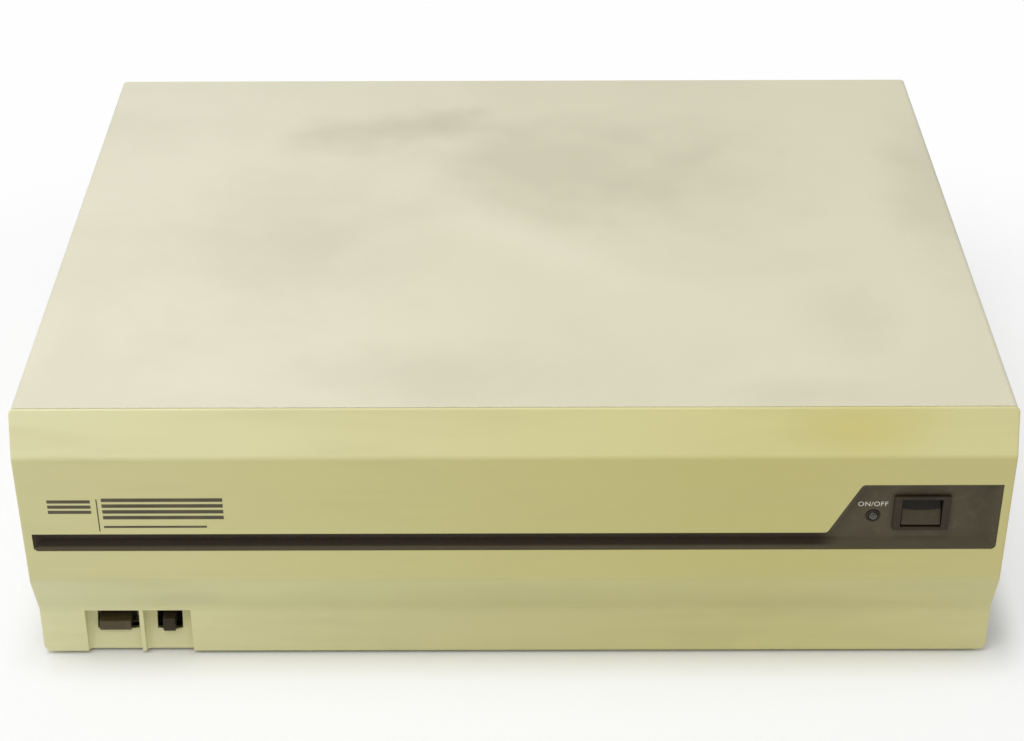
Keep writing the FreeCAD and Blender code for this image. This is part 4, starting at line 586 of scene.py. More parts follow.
@dataclass(frozen=True)
class ShadowBandedPlastic(DustyPlastic):
    """Dark plastic with painted shade on its low ramp and a painted shadow atop its stripe."""

    # Painted shade: the low ramp darker.
    ramp_shade_tone: Tone = Tone(76, 70, 51)
    ramp_top: float = 0.0832
    ramp_blur: float = 0.5 * MM
    ramp_share: float = 0.75
    # Painted shadow: a dark band over the top of the narrow stripe, under its lip.
    band_shadow_tone: Tone = Tone(38, 28, 10)
    band_foot: float = 0.0798
    band_blur: float = 0.6 * MM
    band_top: tuple[float, float] = (0.0920, 0.0890)
    band_end: float = 0.1660
    band_fade: float = 0.0140
    band_share: float = 0.85

    def colour(self, graph: SurfaceGraph) -> Any:
        """The dusty tone with the ramp's painted shade and the stripe's painted shadow laid over
        it.

        Args:
            graph: The material's nodes.

        Returns:
            The colour's socket.
        """
        across, _, up = graph.split(graph.where)
        above, below = self.ramp_top + self.ramp_blur, self.ramp_top - self.ramp_blur
        low = graph.span(up, above, below, 0.0, self.ramp_share)
        colour = graph.blend(low, super().colour(graph), self.ramp_shade_tone)
        high = graph.span(up, self.band_foot - self.band_blur, self.band_foot + self.band_blur)
        left = graph.span(across, self.band_end, self.band_end - self.band_fade)
        under = graph.span(up, *self.band_top)
        band = graph.math("MULTIPLY", graph.math("MULTIPLY", high, left), under)
        share = graph.math("MULTIPLY", band, self.band_share)
        return graph.blend(share, colour, self.band_shadow_tone)


@dataclass(frozen=True)
class DrawnMetal(Finish):
    """Sheet or turned metal with fine lines along one direction."""

    stretch: Spot = (30.0, 900.0, 900.0)
    metal: float = 1.0

    def relief(self, graph: SurfaceGraph) -> bpy.types.NodeSocket:
        """The drawing lines."""
        return graph.noise(1.0, 4.0, graph.stretched(self.stretch))


@dataclass(frozen=True)
class SpangledZinc(Finish):
    """Zinc-plated sheet with its crystal patches."""

    metal: float = 1.0
    crystals: float = 130.0
    crystal_share: float = 0.8

    def colour(self, graph: SurfaceGraph) -> Any:
        """Angular patches between the two tones.

        Args:
            graph: The material's nodes.

        Returns:
            The colour's socket.
        """
        cells = graph.add("ShaderNodeTexVoronoi", {"Vector": graph.where, "Scale": self.crystals})
        level = graph.split(cells.outputs["Color"])[0]
        share = graph.math("MULTIPLY", level, self.crystal_share)
        return graph.blend(share, self.tone, self.deep)


@dataclass(frozen=True)
class Laminate(Finish):
    """A circuit board: solder mask over copper tracks and pads."""

    track: Tone = Tone(70, 120, 66)
    pad: Tone = Tone(190, 178, 140)
    pitch: float = 395.0
    track_wide: float = 0.012
    track_long: float = 2.3
    track_row: float = 0.16
    area_span: tuple[float, float] = (0.45, 0.5)
    pad_span: tuple[float, float] = (0.3, 0.24)
    row_span: tuple[float, float] = (0.56, 0.58)
    weave: float = 1100.0

    def colour(self, graph: SurfaceGraph) -> Any:
        """The mask's colour with lighter tracks under it and rows of pads.

        Args:
            graph: The material's nodes.

        Returns:
            The colour's socket.
        """
        base = super().colour(graph)
        brick: Feed = {
            "Vector": graph.where,
            "Scale": self.pitch / 3,
            "Mortar Size": self.track_wide,
            "Brick Width": self.track_long,
            "Row Height": self.track_row,
            "Color1": (0.0, 0.0, 0.0, 1.0),
            "Color2": (0.1, 0.1, 0.1, 1.0),
            "Mortar": (1.0, 1.0, 1.0, 1.0),
        }
        lines = graph.add("ShaderNodeTexBrick", brick).outputs["Color"]
        area = graph.span(graph.noise(26.0, detail=1.0), *self.area_span)
        colour = graph.blend(graph.math("MULTIPLY", lines, area), base, self.track)
        cells: Feed = {"Vector": graph.where, "Scale": self.pitch, "Randomness": 0.0}
        dots = graph.add("ShaderNodeTexVoronoi", cells).outputs["Distance"]
        rows = graph.span(graph.noise(60.0, detail=0.0), *self.row_span)
        pads = graph.math("MULTIPLY", graph.span(dots, *self.pad_span), rows)
        return graph.blend(pads, colour, self.pad)

    def relief(self, graph: SurfaceGraph) -> bpy.types.NodeSocket:
        """The weave of the board's glass cloth."""
        weave: Feed = {"Vector": graph.where, "Scale": self.weave, "Distortion": 1.0}
        return graph.add("ShaderNodeTexWave", weave).outputs["Fac"]


DULL = (("Specular IOR Level", 0.22),)
BEZEL_STOPS = (
    (0.0, Tone(225, 221, 175)),
    (0.25, Tone(222, 217, 165)),
    (0.5, Tone(217, 211, 153)),
    (0.75, Tone(215, 208, 145)),
    (1.0, Tone(217, 210, 152)),
)
# Tone by height for each facet of the front: partly yellowing, partly painted shade.
BEZEL_SHADES = (
    (0.0265, Tone(255, 255, 253)),
    (0.0340, Tone(242, 243, 239)),
    (0.0550, Tone(242, 243, 239)),
    (0.0610, Tone(240, 238, 220)),
    (0.1345, Tone(240, 237, 218)),
    (0.1375, Tone(255, 255, 255)),
)
GREASE = Tone(164, 158, 134)
PALE = Tone(236, 232, 210)
YELLOW = Tone(206, 194, 104)
SHADE = Tone(166, 159, 112)
# Painted shade for the lower walls of the bay holes.
HOLE_WALL_SHADE = Tone(42, 33, 20)
# Painted shade: the rocker's upper half nearly black, as the pressed half in shadow.
PRESSED_HALF_SHADE = Tone(24, 18, 9)
ROCKER_UPPER_SHADE = (
    SoftMark((0.2058, -0.194, 0.1060), (0.020, 0.03, 0.0062), 0.95, PRESSED_HALF_SHADE, 0.0, core=0.85),
)
COVER_SMUDGES = (
    SoftMark((-0.120, -0.011, 0.16), (0.110, 0.150, 0.1), 0.15, GREASE, 1.0, core=0.0),
    SoftMark((-0.098, 0.119, 0.16), (0.044, 0.044, 0.1), 0.24, GREASE, 0.9, core=0.0),
    SoftMark((-0.048, 0.134, 0.16), (0.062, 0.036, 0.1), 0.34, GREASE, 0.9, core=0.0),
    SoftMark((0.026, 0.076, 0.16), (0.105, 0.105, 0.1), 0.26, GREASE, 0.8, core=0.1),
    SoftMark((0.108, 0.057, 0.16), (0.095, 0.110, 0.1), 0.16, GREASE, 0.9, core=0.0),
    SoftMark((-0.042, -0.165, 0.16), (0.095, 0.055, 0.1), 0.18, GREASE, 0.9, core=0.0),
    # Darker towards the cover's right edge, at the back.
    SoftMark((0.246, 0.048, 0.16), (0.045, 0.140, 0.1), 0.22, GREASE, 0.7, core=0.0),
    SoftMark((0.177, -0.104, 0.16), (0.040, 0.055, 0.1), 0.12, GREASE, 0.9, core=0.0),
    SoftMark((0.143, -0.180, 0.16), (0.060, 0.025, 0.1), 0.12, GREASE, 0.9, core=0.0),
    SoftMark((0.010, -0.018, 0.16), (0.185, 0.034, 0.1), 0.26, PALE, 0.7, turn=-41.8, core=0.0),
)
# Stains on the front, and painted shade: darker at the bottom and on the bay holes' lower walls.
BEZEL_STAINS_AND_SHADE = (
    SoftMark((0.172, -0.197, 0.150), (0.055, 0.03, 0.020), 0.50, YELLOW),
    # Painted shade: darker towards the bottom of the front.
    SoftMark((0.020, -0.190, 0.020), (0.240, 0.05, 0.045), 0.20, SHADE),
    SoftMark((-0.170, -0.185, 0.040), (0.040, 0.05, 0.010), 0.15, GREASE),
    # Painted shade on the lower walls of the two bay holes.
    SoftMark((-0.2102, -0.1757, 0.0126), (0.0135, 0.0024, 0.0010), 0.9, HOLE_WALL_SHADE, 0.0, core=0.8),
    SoftMark((-0.1827, -0.1757, 0.0126), (0.0090, 0.0024, 0.0010), 0.9, HOLE_WALL_SHADE, 0.0, core=0.8),
)


class FinishBook:
    """Every finish of the object, by the record's material slot."""

    COVER = BakedPaint(
        "cover_paint",
        Tone(220, 216, 190),
        Tone(204, 200, 176),
        rough=(0.42, 0.55),
        grain=1500.0,
        grain_depth=0.02 * MM,
        wear=Tone(196, 190, 168),
        # Painted light: lighter at the left, darker at the right.
        left=Tone(227, 223, 200),
        right=Tone(220, 215, 188),
        stains_and_shade=COVER_SMUDGES,
    )
    REAR = BakedPaint(
        "rear_paint",
        Tone(208, 205, 184),
        Tone(190, 187, 168),
        # Painted light: lighter at the left, darker at the right.
        left=Tone(210, 207, 188),
        right=Tone(204, 200, 178),
        rough=(0.45, 0.6),
        grain=1500.0,
        grain_depth=0.02 * MM,
        wear=Tone(170, 166, 150),
    )
    BEZEL = AgedPlastic(
        "bezel_plastic",
        Tone(208, 202, 146),
        Tone(192, 186, 132),
        rough=(0.44, 0.56),
        grain=2600.0,
        grain_depth=0.02 * MM,
        wear=Tone(222, 217, 172),
        wear_share=0.35,
        stops=BEZEL_STOPS,
        shades=BEZEL_SHADES,
        stains_and_shade=BEZEL_STAINS_AND_SHADE,
    )
    BROWN = DustyPlastic(
        "brown_plastic",
        Tone(98, 88, 66),
        Tone(86, 76, 55),
        rough=(0.45, 0.6),
        wear=Tone(112, 102, 78),
        wear_share=0.4,
        plain=DULL,
    )
    TRAY = ShadowBandedPlastic(
        "tray_plastic",
        Tone(87, 78, 60),
        Tone(77, 69, 51),
        rough=(0.45, 0.6),
        plain=DULL,
        wear=Tone(96, 87, 64),
        wear_share=0.3,
        slot="brown_plastic",
    )
    KEY = DustyPlastic(
        "key_plastic",
        Tone(74, 65, 49),
        Tone(64, 55, 40),
        rough=(0.42, 0.55),
        plain=DULL,
        wear=Tone(92, 83, 64),
        wear_share=0.3,
        slot="brown_plastic",
        stains_and_shade=ROCKER_UPPER_SHADE,
    )
    DEEP = DustyPlastic(
        "deep_plastic",
        Tone(54, 45, 30),
        Tone(45, 37, 24),
        rough=(0.42, 0.55),
        plain=DULL,
        dust=Tone(110, 102, 84),
        wear=Tone(70, 62, 48),
        wear_share=0.3,
        slot="brown_plastic",
    )
    BLACK = DustyPlastic(
        "black_plastic",
        Tone(46, 41, 34),
        Tone(36, 32, 27),
        rough=(0.4, 0.55),
        plain=DULL,
        dust=Tone(120, 114, 102),
        wear=Tone(84, 78, 68),
    )
    PALE = Finish("pale_plastic", Tone(222, 216, 198), Tone(206, 198, 176))
    SOCKET = Finish("socket_plastic", Tone(44, 78, 66), Tone(34, 62, 52))
    LENS = Finish(
        "light_lens",
        Tone(62, 55, 39),
        Tone(50, 43, 29),
        rough=(0.08, 0.16),
        grain_depth=0.004 * MM,
        plain=(("Coat Weight", 0.6), ("Coat Roughness", 0.05)),
    )
    BOARD = Laminate("circuit_board", Tone(40, 84, 44), Tone(32, 70, 38), rough=(0.25, 0.4))
    SUPPLY = Laminate(
        "supply_board",
        Tone(170, 130, 74),
        Tone(150, 112, 60),
        track=Tone(190, 154, 96),
        rough=(0.4, 0.55),
    )
    CHIP = Finish("chip_plastic", Tone(44, 44, 46), Tone(34, 34, 36), rough=(0.5, 0.65))
    BRASS = DrawnMetal("contact_brass", Tone(214, 178, 104), Tone(184, 146, 80), rough=(0.22, 0.4))
    ZINC = SpangledZinc(
        "plated_steel", Tone(186, 188, 186), Tone(150, 152, 150), rough=(0.32, 0.48)
    )
    SCREW = DrawnMetal(
        "screw_steel",
        Tone(204, 203, 198),
        Tone(160, 158, 152),
        rough=(0.2, 0.38),
        wear=Tone(120, 112, 98),
    )
    SHELL = DrawnMetal("port_shell", Tone(202, 199, 190), Tone(170, 166, 156), rough=(0.25, 0.42))
    RUBBER = Finish("foot_rubber", Tone(52, 50, 48), Tone(40, 38, 36), rough=(0.7, 0.85))
    BATTERY = Finish("battery_wrap", Tone(66, 104, 160), Tone(54, 86, 138), rough=(0.18, 0.3))
    CAPACITOR = Finish("capacitor_wrap", Tone(46, 58, 104), Tone(36, 46, 86), rough=(0.18, 0.3))
    WIRE = Finish("wire_jacket", Tone(164, 66, 50), Tone(132, 50, 38), rough=(0.4, 0.55))
    IRON = DrawnMetal(
        "core_iron", Tone(104, 94, 84), Tone(74, 66, 58), stretch=(20.0, 20.0, 1800.0), metal=0.6
    )
    SINK = DrawnMetal("sink_aluminium", Tone(182, 184, 188), Tone(150, 152, 156), rough=(0.3, 0.5))
    FERRITE = Finish("magnet_ferrite", Tone(66, 66, 68), Tone(50, 50, 52), rough=(0.5, 0.7))
    PRINT = Finish("pad_print", Tone(74, 67, 46), Tone(90, 82, 58), rough=(0.5, 0.6))
    PALE_PRINT = Finish("pale_print", Tone(226, 222, 208), Tone(206, 200, 182), rough=(0.5, 0.6))

    @classmethod
    def by_slot(cls, slot: str) -> Finish:
        """The finish of a material slot."""
        kept = (part for part in vars(cls).values() if isinstance(part, Finish))
        return next(finish for finish in kept if finish.name == slot)


def as_object(
    name: str, bm: bmesh.types.BMesh, smooth: float = 35.0, outward: bool = True
) -> bpy.types.Object:
    """Turn an edited mesh into an object whose faces point outwards.

    Args:
        name: The piece's name.
        bm: The mesh, freed here.
        smooth: Edges sharper than this many degrees stay sharp.
        outward: Whether the faces' sense is worked out again.

    Returns:
        The new object at the origin.
    """
    if outward:
        bmesh.ops.recalc_face_normals(bm, faces=bm.faces)
    mesh = bpy.data.meshes.new(name)
    bm.to_mesh(mesh)
    bm.free()
    piece = bpy.data.objects.new(name, mesh)
    bpy.context.scene.collection.objects.link(piece)
    shade(piece, smooth)
    return piece


def shade(piece: bpy.types.Object, smooth: float) -> None:
    """Shade a piece smooth, with flat faces kept flat.

    Args:
        piece: The piece.
        smooth: Edges sharper than this many degrees stay sharp.
    """
    piece.data.polygons.foreach_set("use_smooth", [True] * len(piece.data.polygons))
    piece.data.set_sharp_from_angle(angle=math.radians(smooth))
    weighted = piece.modifiers.new("EvenNormals", "WEIGHTED_NORMAL")
    weighted.keep_sharp = True
    settle(piece)


def settle(piece: bpy.types.Object) -> None:
    """Replace a piece's mesh by what its modifiers make of it, and drop them.

    Args:
        piece: The piece.
    """
    graph = bpy.context.evaluated_depsgraph_get()
    made = bpy.data.meshes.new_from_object(piece.evaluated_get(graph))
    made.name = piece.name
    piece.modifiers.clear()
    piece.data = made


def mark_edges(bm: bmesh.types.BMesh, faces: Sequence[bmesh.types.BMFace]) -> None:
    """Store which faces are a piece's rounded edges, for wear.

    Args:
        bm: The mesh.
        faces: The faces across its rounded edges.
    """
    layer = bm.loops.layers.float.get(EDGE_MARK) or bm.loops.layers.float.new(EDGE_MARK)
    for face in faces:
        for loop in face.loops:
            loop[layer] = 1.0


def round_off(bm: bmesh.types.BMesh, width: float, steps: int, sharp: float) -> None:
    """Round every edge that is sharper than an angle, and mark the new faces.

    Args:
        bm: The mesh.
        width: The width of the rounding.
        steps: How many faces it takes across.
        sharp: The least angle in degrees.
    """
    limit = math.radians(sharp)
    picked = [
        edge
        for edge in bm.edges
        if len(edge.link_faces) == 2 and edge.calc_face_angle(0.0) > limit
    ]
    made = bmesh.ops.bevel(
        bm,
        geom=picked,
        offset=width,
        offset_type="OFFSET",
        segments=steps,
        profile=0.5,
        affect="EDGES",
        clamp_overlap=True,
        miter_outer="ARC",
    )
    mark_edges(bm, made["faces"])


def solid_of(node: str, whole: bool = True) -> bmesh.types.BMesh:
    """A CAD node's mesh with its loose triangles joined.

    Args:
        node: The CAD node.
        whole: Whether its flat faces are made whole. A sheet full of slots keeps them split,
            since a face that runs round every slot fills wrongly once its edges are rounded.

    Returns:
        The mesh.
    """
    bm = bmesh.new()
    bm.from_mesh(bpy.data.objects[node].data)
    bmesh.ops.remove_doubles(bm, verts=bm.verts, dist=MERGE_DISTANCE)
    if whole:
        bmesh.ops.dissolve_limit(bm, angle_limit=FLAT_ANGLE, verts=bm.verts, edges=bm.edges)
    return bm


def turned(
    name: str,
    profile: Sequence[tuple[float, float]],
    spots: Sequence[Spot],
    axis: Axis,
    sides: int = 48,
) -> bpy.types.Object:
    """Pieces turned from one profile, closed at both poles.

    Args:
        name: The piece's name.
        profile: Radius and height of each corner, from pole to pole.
        spots: Where each one stands.
        axis: What they stand along.
        sides: How many sides they have round.

    Returns:
        One object with them all.
    """
    bm = bmesh.new()
    for spot in spots:
        place = Matrix.Translation(spot) @ axis.turn
        rings = []
        for radius, height in profile:
            if radius <= 0:
                rings.append([bm.verts.new(place @ Vector((0, 0, height)))])
                continue
            corners = []
            for step in range(sides):
                turn = FULL_TURN * step / sides
                across = Vector((radius * math.cos(turn), radius * math.sin(turn), height))
                corners.append(bm.verts.new(place @ across))
            rings.append(corners)
        for low, high in zip(rings, rings[1:]):
            for step in range(sides):
                following = (step + 1) % sides
                corners = [
                    low[step % len(low)],
                    low[following % len(low)],
                    high[following % len(high)],
                    high[step % len(high)],
                ]
                unique = list(dict.fromkeys(corners))
                if len(unique) > 2:
                    bm.faces.new(unique)
    return as_object(name, bm)


class GeometryRecipe(Graph):
    """A Geometry Nodes tree with named inputs, run once and turned into a plain mesh."""

    def __init__(self, name: str) -> None:
        """Start an empty tree.

        Args:
            name: The tree's name.
        """
        super().__init__(bpy.data.node_groups.new(name, "GeometryNodeTree"))
        self._sockets: dict[str, Any] = {}
        self._socket("Spots", "NodeSocketGeometry")
        self.tree.interface.new_socket(
            "Geometry", in_out="OUTPUT", socket_type="NodeSocketGeometry"
        )
        self._socket("Finish", "NodeSocketMaterial")
        self.entry = self.add("NodeGroupInput")
        self.exit = self.add("NodeGroupOutput")

    def _socket(self, name: str, kind: str) -> None:
        """Add one named input."""
        item = self.tree.interface.new_socket(name, in_out="INPUT", socket_type=kind)
        self._sockets[name] = item

    def size(self, name: str, value: float) -> bpy.types.NodeSocket:
        """A named length or angle of the tree.

        Args:
            name: The input's name.
            value: Its value now.

        Returns:
            The input's socket.
        """
        self._socket(name, "NodeSocketFloat")
        self._sockets[name].default_value = value
        return self.entry.outputs[name]

    def count(self, name: str, value: int) -> bpy.types.NodeSocket:
        """A named count or seed of the tree.

        Args:
            name: The input's name.
            value: Its value now.

        Returns:
            The input's socket.
        """
        self._socket(name, "NodeSocketInt")
        self._sockets[name].default_value = value
        return self.entry.outputs[name]

    @property
    def spots(self) -> bpy.types.NodeSocket:
        """The points that the modifier's own mesh holds."""
        return self.entry.outputs["Spots"]

    def moved(self, mesh: Any, shift: Any) -> bpy.types.NodeSocket:
        """A geometry moved."""
        return self.out("GeometryNodeTransform", {"Geometry": mesh, "Translation": shift})

    def column(self, sides: Any, radius: Any, height: Any, rings: int = 1) -> Any:
        """A closed cylinder that stands on the ground plane.

        Args:
            sides: How many sides it has round.
            radius: Its radius.
            height: Its height.
            rings: How many steps its side and its ends are divided in.

        Returns:
            The geometry's socket.
        """
        feeds: Feed = {
            "Vertices": sides,
            "Side Segments": rings,
            "Fill Segments": rings,
            "Radius": radius,
            "Depth": height,
        }
        mesh = self.add("GeometryNodeMeshCylinder", feeds).outputs["Mesh"]
        return self.moved(mesh, self.upward(self.math("MULTIPLY", height, 0.5)))

    def upward(self, height: Any) -> bpy.types.NodeSocket:
        """A vector along Z."""
        return self.out("ShaderNodeCombineXYZ", {"Z": height})

    def joined(self, *meshes: Any) -> bpy.types.NodeSocket:
        """Several geometries as one."""
        return self.out("GeometryNodeJoinGeometry", {"Geometry": list(meshes)})

    def on_spots(self, mesh: Any, seed: Any = None) -> bpy.types.NodeSocket:
        """A mesh set on every spot along the way it faces.

        Args:
            mesh: The mesh's socket.
            seed: What turns each one at random about that way, or None for no turn.

        Returns:
            The instances' socket.
        """
        facing = self.out(
            "GeometryNodeInputNamedAttribute", {"Name": FACING_MARK}, data_type="FLOAT_VECTOR"
        )
        turn = self.out("FunctionNodeAlignRotationToVector", {"Vector": facing}, axis="Z")
        if seed is not None:
            chance = self.out(
                "FunctionNodeRandomValue",
                {"Min": 0.0, "Max": FULL_TURN, "Seed": seed},
                data_type="FLOAT",
            )
            spin = self.out("FunctionNodeEulerToRotation", {0: self.upward(chance)})
            turn = self.out(
                "FunctionNodeRotateRotation",
                {"Rotation": turn, "Rotate By": spin},
                rotation_space="LOCAL",
            )
        feeds: Feed = {"Points": self.spots, "Instance": mesh, "Rotation": turn}
        return self.out("GeometryNodeInstanceOnPoints", feeds)

    def close(self, shape: Any) -> None:
        """End the tree in Realize Instances and Set Material.

        Args:
            shape: The geometry's socket.
        """
        real = self.out("GeometryNodeRealizeInstances", {"Geometry": shape})
        feeds: Feed = {"Geometry": real, "Material": self.entry.outputs["Finish"]}
        self.feed(self.exit, 0, self.out("GeometryNodeSetMaterial", feeds))

    def run(
        self,
        name: str,
        finish: Finish,
        spots: Sequence[tuple[Spot, Spot]],
        smooth: float = 35.0,
    ) -> bpy.types.Object:
        """Run the tree on a set of spots and keep the result as a plain mesh.

        Args:
            name: The piece's name.
            finish: The piece's finish.
            spots: Each place, and the way it faces.
            smooth: Edges sharper than this many degrees stay sharp.

        Returns:
            The piece.
        """
        mesh = bpy.data.meshes.new(name)
        mesh.from_pydata([spot for spot, _ in spots], [], [])
        facing = mesh.attributes.new(FACING_MARK, "FLOAT_VECTOR", "POINT")
        facing.data.foreach_set("vector", [part for _, way in spots for part in way])
        piece = bpy.data.objects.new(name, mesh)
        bpy.context.scene.collection.objects.link(piece)
        modifier = piece.modifiers.new(self.tree.name, "NODES")
        modifier.node_group = self.tree
        modifier[self._sockets["Finish"].identifier] = finish.material()
        for item in self._sockets.values():
            if item.socket_type in ("NodeSocketFloat", "NodeSocketInt"):
                modifier[item.identifier] = item.default_value
        settle(piece)
        shade(piece, smooth)
        return piece


class ScrewRecipe(GeometryRecipe):
    """Pan-head screws with a crossed recess and a plain shank."""

    DOME = -0.45
    RECESS_LONG = 1.2
    RECESS_WIDE = 0.26

    def __init__(self, head: float, high: float, shank: float, long: float, seed: int) -> None:
        """Write the tree.

        Args:
            head: The head's radius.
            high: The head's height.
            shank: The shank's radius.
            long: The shank's length.
            seed: What turns the recesses.
        """
        super().__init__("PanHeadScrews")
        radius = self.size("Head Radius", head)
        height = self.size("Head Height", high)
        column = self.column(self.count("Head Sides", 24), radius, height, 3)
        x, y, z = self.split(self.out("GeometryNodeInputPosition"))
        reach = self.math("ADD", self.math("MULTIPLY", x, x), self.math("MULTIPLY", y, y))
        share = self.math("DIVIDE", reach, self.math("MULTIPLY", radius, radius))
        drop = self.math("MULTIPLY", self.math("MULTIPLY", share, z), self.DOME)
        shaping: Feed = {"Geometry": column, "Offset": self.upward(drop)}
        domed = self.out("GeometryNodeSetPosition", shaping)
        tools = []
        long_side = self.math("MULTIPLY", radius, self.RECESS_LONG)
        wide_side = self.math("MULTIPLY", radius, self.RECESS_WIDE)
        for sides in ((long_side, wide_side), (wide_side, long_side)):
            extent = self.out(
                "ShaderNodeCombineXYZ", {"X": sides[0], "Y": sides[1], "Z": height}
            )
            cube = self.add("GeometryNodeMeshCube", {"Size": extent}).outputs["Mesh"]
            tools.append(self.moved(cube, self.upward(height)))
        cut = self.add("GeometryNodeMeshBoolean", operation="DIFFERENCE")
        self.feed(cut, 0, domed)
        self.feed(cut, 1, tools)
        length = self.size("Shank Length", long)
        body = self.column(12, self.size("Shank Radius", shank), length)
        sunk = self.moved(body, self.upward(self.math("MULTIPLY", length, -1.0)))
        self.close(self.on_spots(self.joined(cut.outputs[0], sunk), self.count("Seed", seed)))


class KnurledRecipe(GeometryRecipe):
    """Thumb screws: a ribbed round head with a driver slot, and a plain shank."""

    RIB_FOOT = 0.91
    SLOT_LONG = 2.4
    SLOT_WIDE = 0.24
    SLOT_LIFT = 1.1

    def __init__(self, head: float, high: float, shank: float, long: float, seed: int) -> None:
        """Write the tree.

        Args:
            head: The head's radius.
            high: The head's height.
            shank: The shank's radius.
            long: The shank's length.
            seed: What turns the slots.
        """
        super().__init__("KnurledScrews")
        radius = self.size("Head Radius", head)
        height = self.size("Head Height", high)
        ribs = self.count("Ribs", 22)
        star: Feed = {
            "Points": ribs,
            "Inner Radius": self.math("MULTIPLY", radius, self.RIB_FOOT),
            "Outer Radius": radius,
        }
        outline = self.add("GeometryNodeCurveStar", star).outputs["Curve"]
        plate = self.out("GeometryNodeFillCurve", {"Curve": outline})
        grown = self.add(
            "GeometryNodeExtrudeMesh",
            {"Mesh": plate, "Offset Scale": height, "Individual": False},
        )
        under = self.out("GeometryNodeFlipFaces", {"Mesh": plate})
        whole = self.joined(grown.outputs["Mesh"], under)
        closed = self.out("GeometryNodeMergeByDistance", {"Geometry": whole, "Distance": MM / 100})
        extent = self.out(
            "ShaderNodeCombineXYZ",
            {
                "X": self.math("MULTIPLY", radius, self.SLOT_LONG),
                "Y": self.math("MULTIPLY", radius, self.SLOT_WIDE),
                "Z": height,
            },
        )
        cube = self.add("GeometryNodeMeshCube", {"Size": extent}).outputs["Mesh"]
        lift = self.math("MULTIPLY", height, self.SLOT_LIFT)
        raised = self.moved(cube, self.upward(lift))
        cut = self.add("GeometryNodeMeshBoolean", operation="DIFFERENCE")
        self.feed(cut, 0, closed)
        self.feed(cut, 1, raised)
        length = self.size("Shank Length", long)
        body = self.column(12, self.size("Shank Radius", shank), length)
        sunk = self.moved(body, self.upward(self.math("MULTIPLY", length, -1.0)))
        self.close(self.on_spots(self.joined(cut.outputs[0], sunk), self.count("Seed", seed)))


class BladeRecipe(GeometryRecipe):
    """A fan wheel: a domed hub and blades that flatten as they reach out."""

    CHORD = 21.0 * MM
    THICK = 1.1 * MM
    ROOTED = 1.2 * MM
    ROOT_PITCH = 0.86
    PITCH_LOSS = -0.42
    BOW = -9.0
    SWEEP = 3.0 * MM
    HUB_DOME = -0.07
    SHAFT_RADIUS = 2.0 * MM
    SHAFT_LONG = 4.5 * MM
    SHAFT_SPOT = (0.0, 0.0, -3.5 * MM)

    def __init__(self, hub: float, deep: float, reach: float, blades: int) -> None:
        """Write the tree.

        Args:
            hub: The hub's radius.
            deep: The hub's depth.
            reach: How far out the blades go.
            blades: How many there are.
        """
        super().__init__("FanWheel")
        root = self.size("Hub Radius", hub)
        depth = self.size("Hub Depth", deep)
        tip = self.size("Blade Reach", reach)
        chord = self.size("Blade Chord", self.CHORD)
        thick = self.size("Blade Thickness", self.THICK)
        number = self.count("Blades", blades)
        inner = self.math("SUBTRACT", root, self.ROOTED)
        length = self.math("SUBTRACT", tip, inner)
        grid: Feed = {"Size X": length, "Size Y": chord, "Vertices X": 10, "Vertices Y": 7}
        sheet = self.add("GeometryNodeMeshGrid", grid).outputs["Mesh"]
        x, y, _ = self.split(self.out("GeometryNodeInputPosition"))
        out = self.math("ADD", self.math("DIVIDE", x, length), 0.5)
        loss = self.math("MULTIPLY", out, self.PITCH_LOSS)
        pitch = self.math("ADD", loss, self.ROOT_PITCH)
        flat = self.math("MULTIPLY", self.math("COSINE", pitch), y)
        rise = self.math("MULTIPLY", self.math("SINE", pitch), y)
        bow = self.math("MULTIPLY", self.math("MULTIPLY", y, y), self.BOW)
        lift = self.math("ADD", self.math("ADD", rise, bow), self.math("MULTIPLY", depth, 0.5))
        radial = self.math("ADD", self.math("MULTIPLY", out, length), inner)
        back = self.math("MULTIPLY", self.math("MULTIPLY", out, out), self.SWEEP)
        sweep = self.math("ADD", flat, back)
        shape = self.out("ShaderNodeCombineXYZ", {"X": radial, "Y": sweep, "Z": lift})
        bent = self.out("GeometryNodeSetPosition", {"Geometry": sheet, "Position": shape})
        grown = self.add(
            "GeometryNodeExtrudeMesh", {"Mesh": bent, "Offset Scale": thick, "Individual": False}
        )
        whole = self.joined(
            grown.outputs["Mesh"], self.out("GeometryNodeFlipFaces", {"Mesh": bent})
        )
        blade = self.out("GeometryNodeMergeByDistance", {"Geometry": whole, "Distance": MM / 100})
        step = self.math("DIVIDE", FULL_TURN, number)
        turn = self.upward(self.math("MULTIPLY", self.out("GeometryNodeInputIndex"), step))
        row: Feed = {"Count": number, "Offset": (0.0, 0.0, 0.0)}
        line = self.add("GeometryNodeMeshLine", row).outputs["Mesh"]
        wheel = self.out(
            "GeometryNodeInstanceOnPoints", {"Points": line, "Instance": blade, "Rotation": turn}
        )
        core = self.column(48, root, depth, 4)
        cx, cy, cz = self.split(self.out("GeometryNodeInputPosition"))
        square = self.math("ADD", self.math("MULTIPLY", cx, cx), self.math("MULTIPLY", cy, cy))
        share = self.math("DIVIDE", square, self.math("MULTIPLY", root, root))
        fall = self.math("MULTIPLY", self.math("MULTIPLY", share, share), self.HUB_DOME)
        domed = self.out(
            "GeometryNodeSetPosition",
            {"Geometry": core, "Offset": self.upward(self.math("MULTIPLY", fall, cz))},
        )
        stub = self.column(16, self.SHAFT_RADIUS, self.SHAFT_LONG)
        shaft = self.moved(stub, self.SHAFT_SPOT)
        self.close(self.on_spots(self.joined(wheel, domed, shaft)))


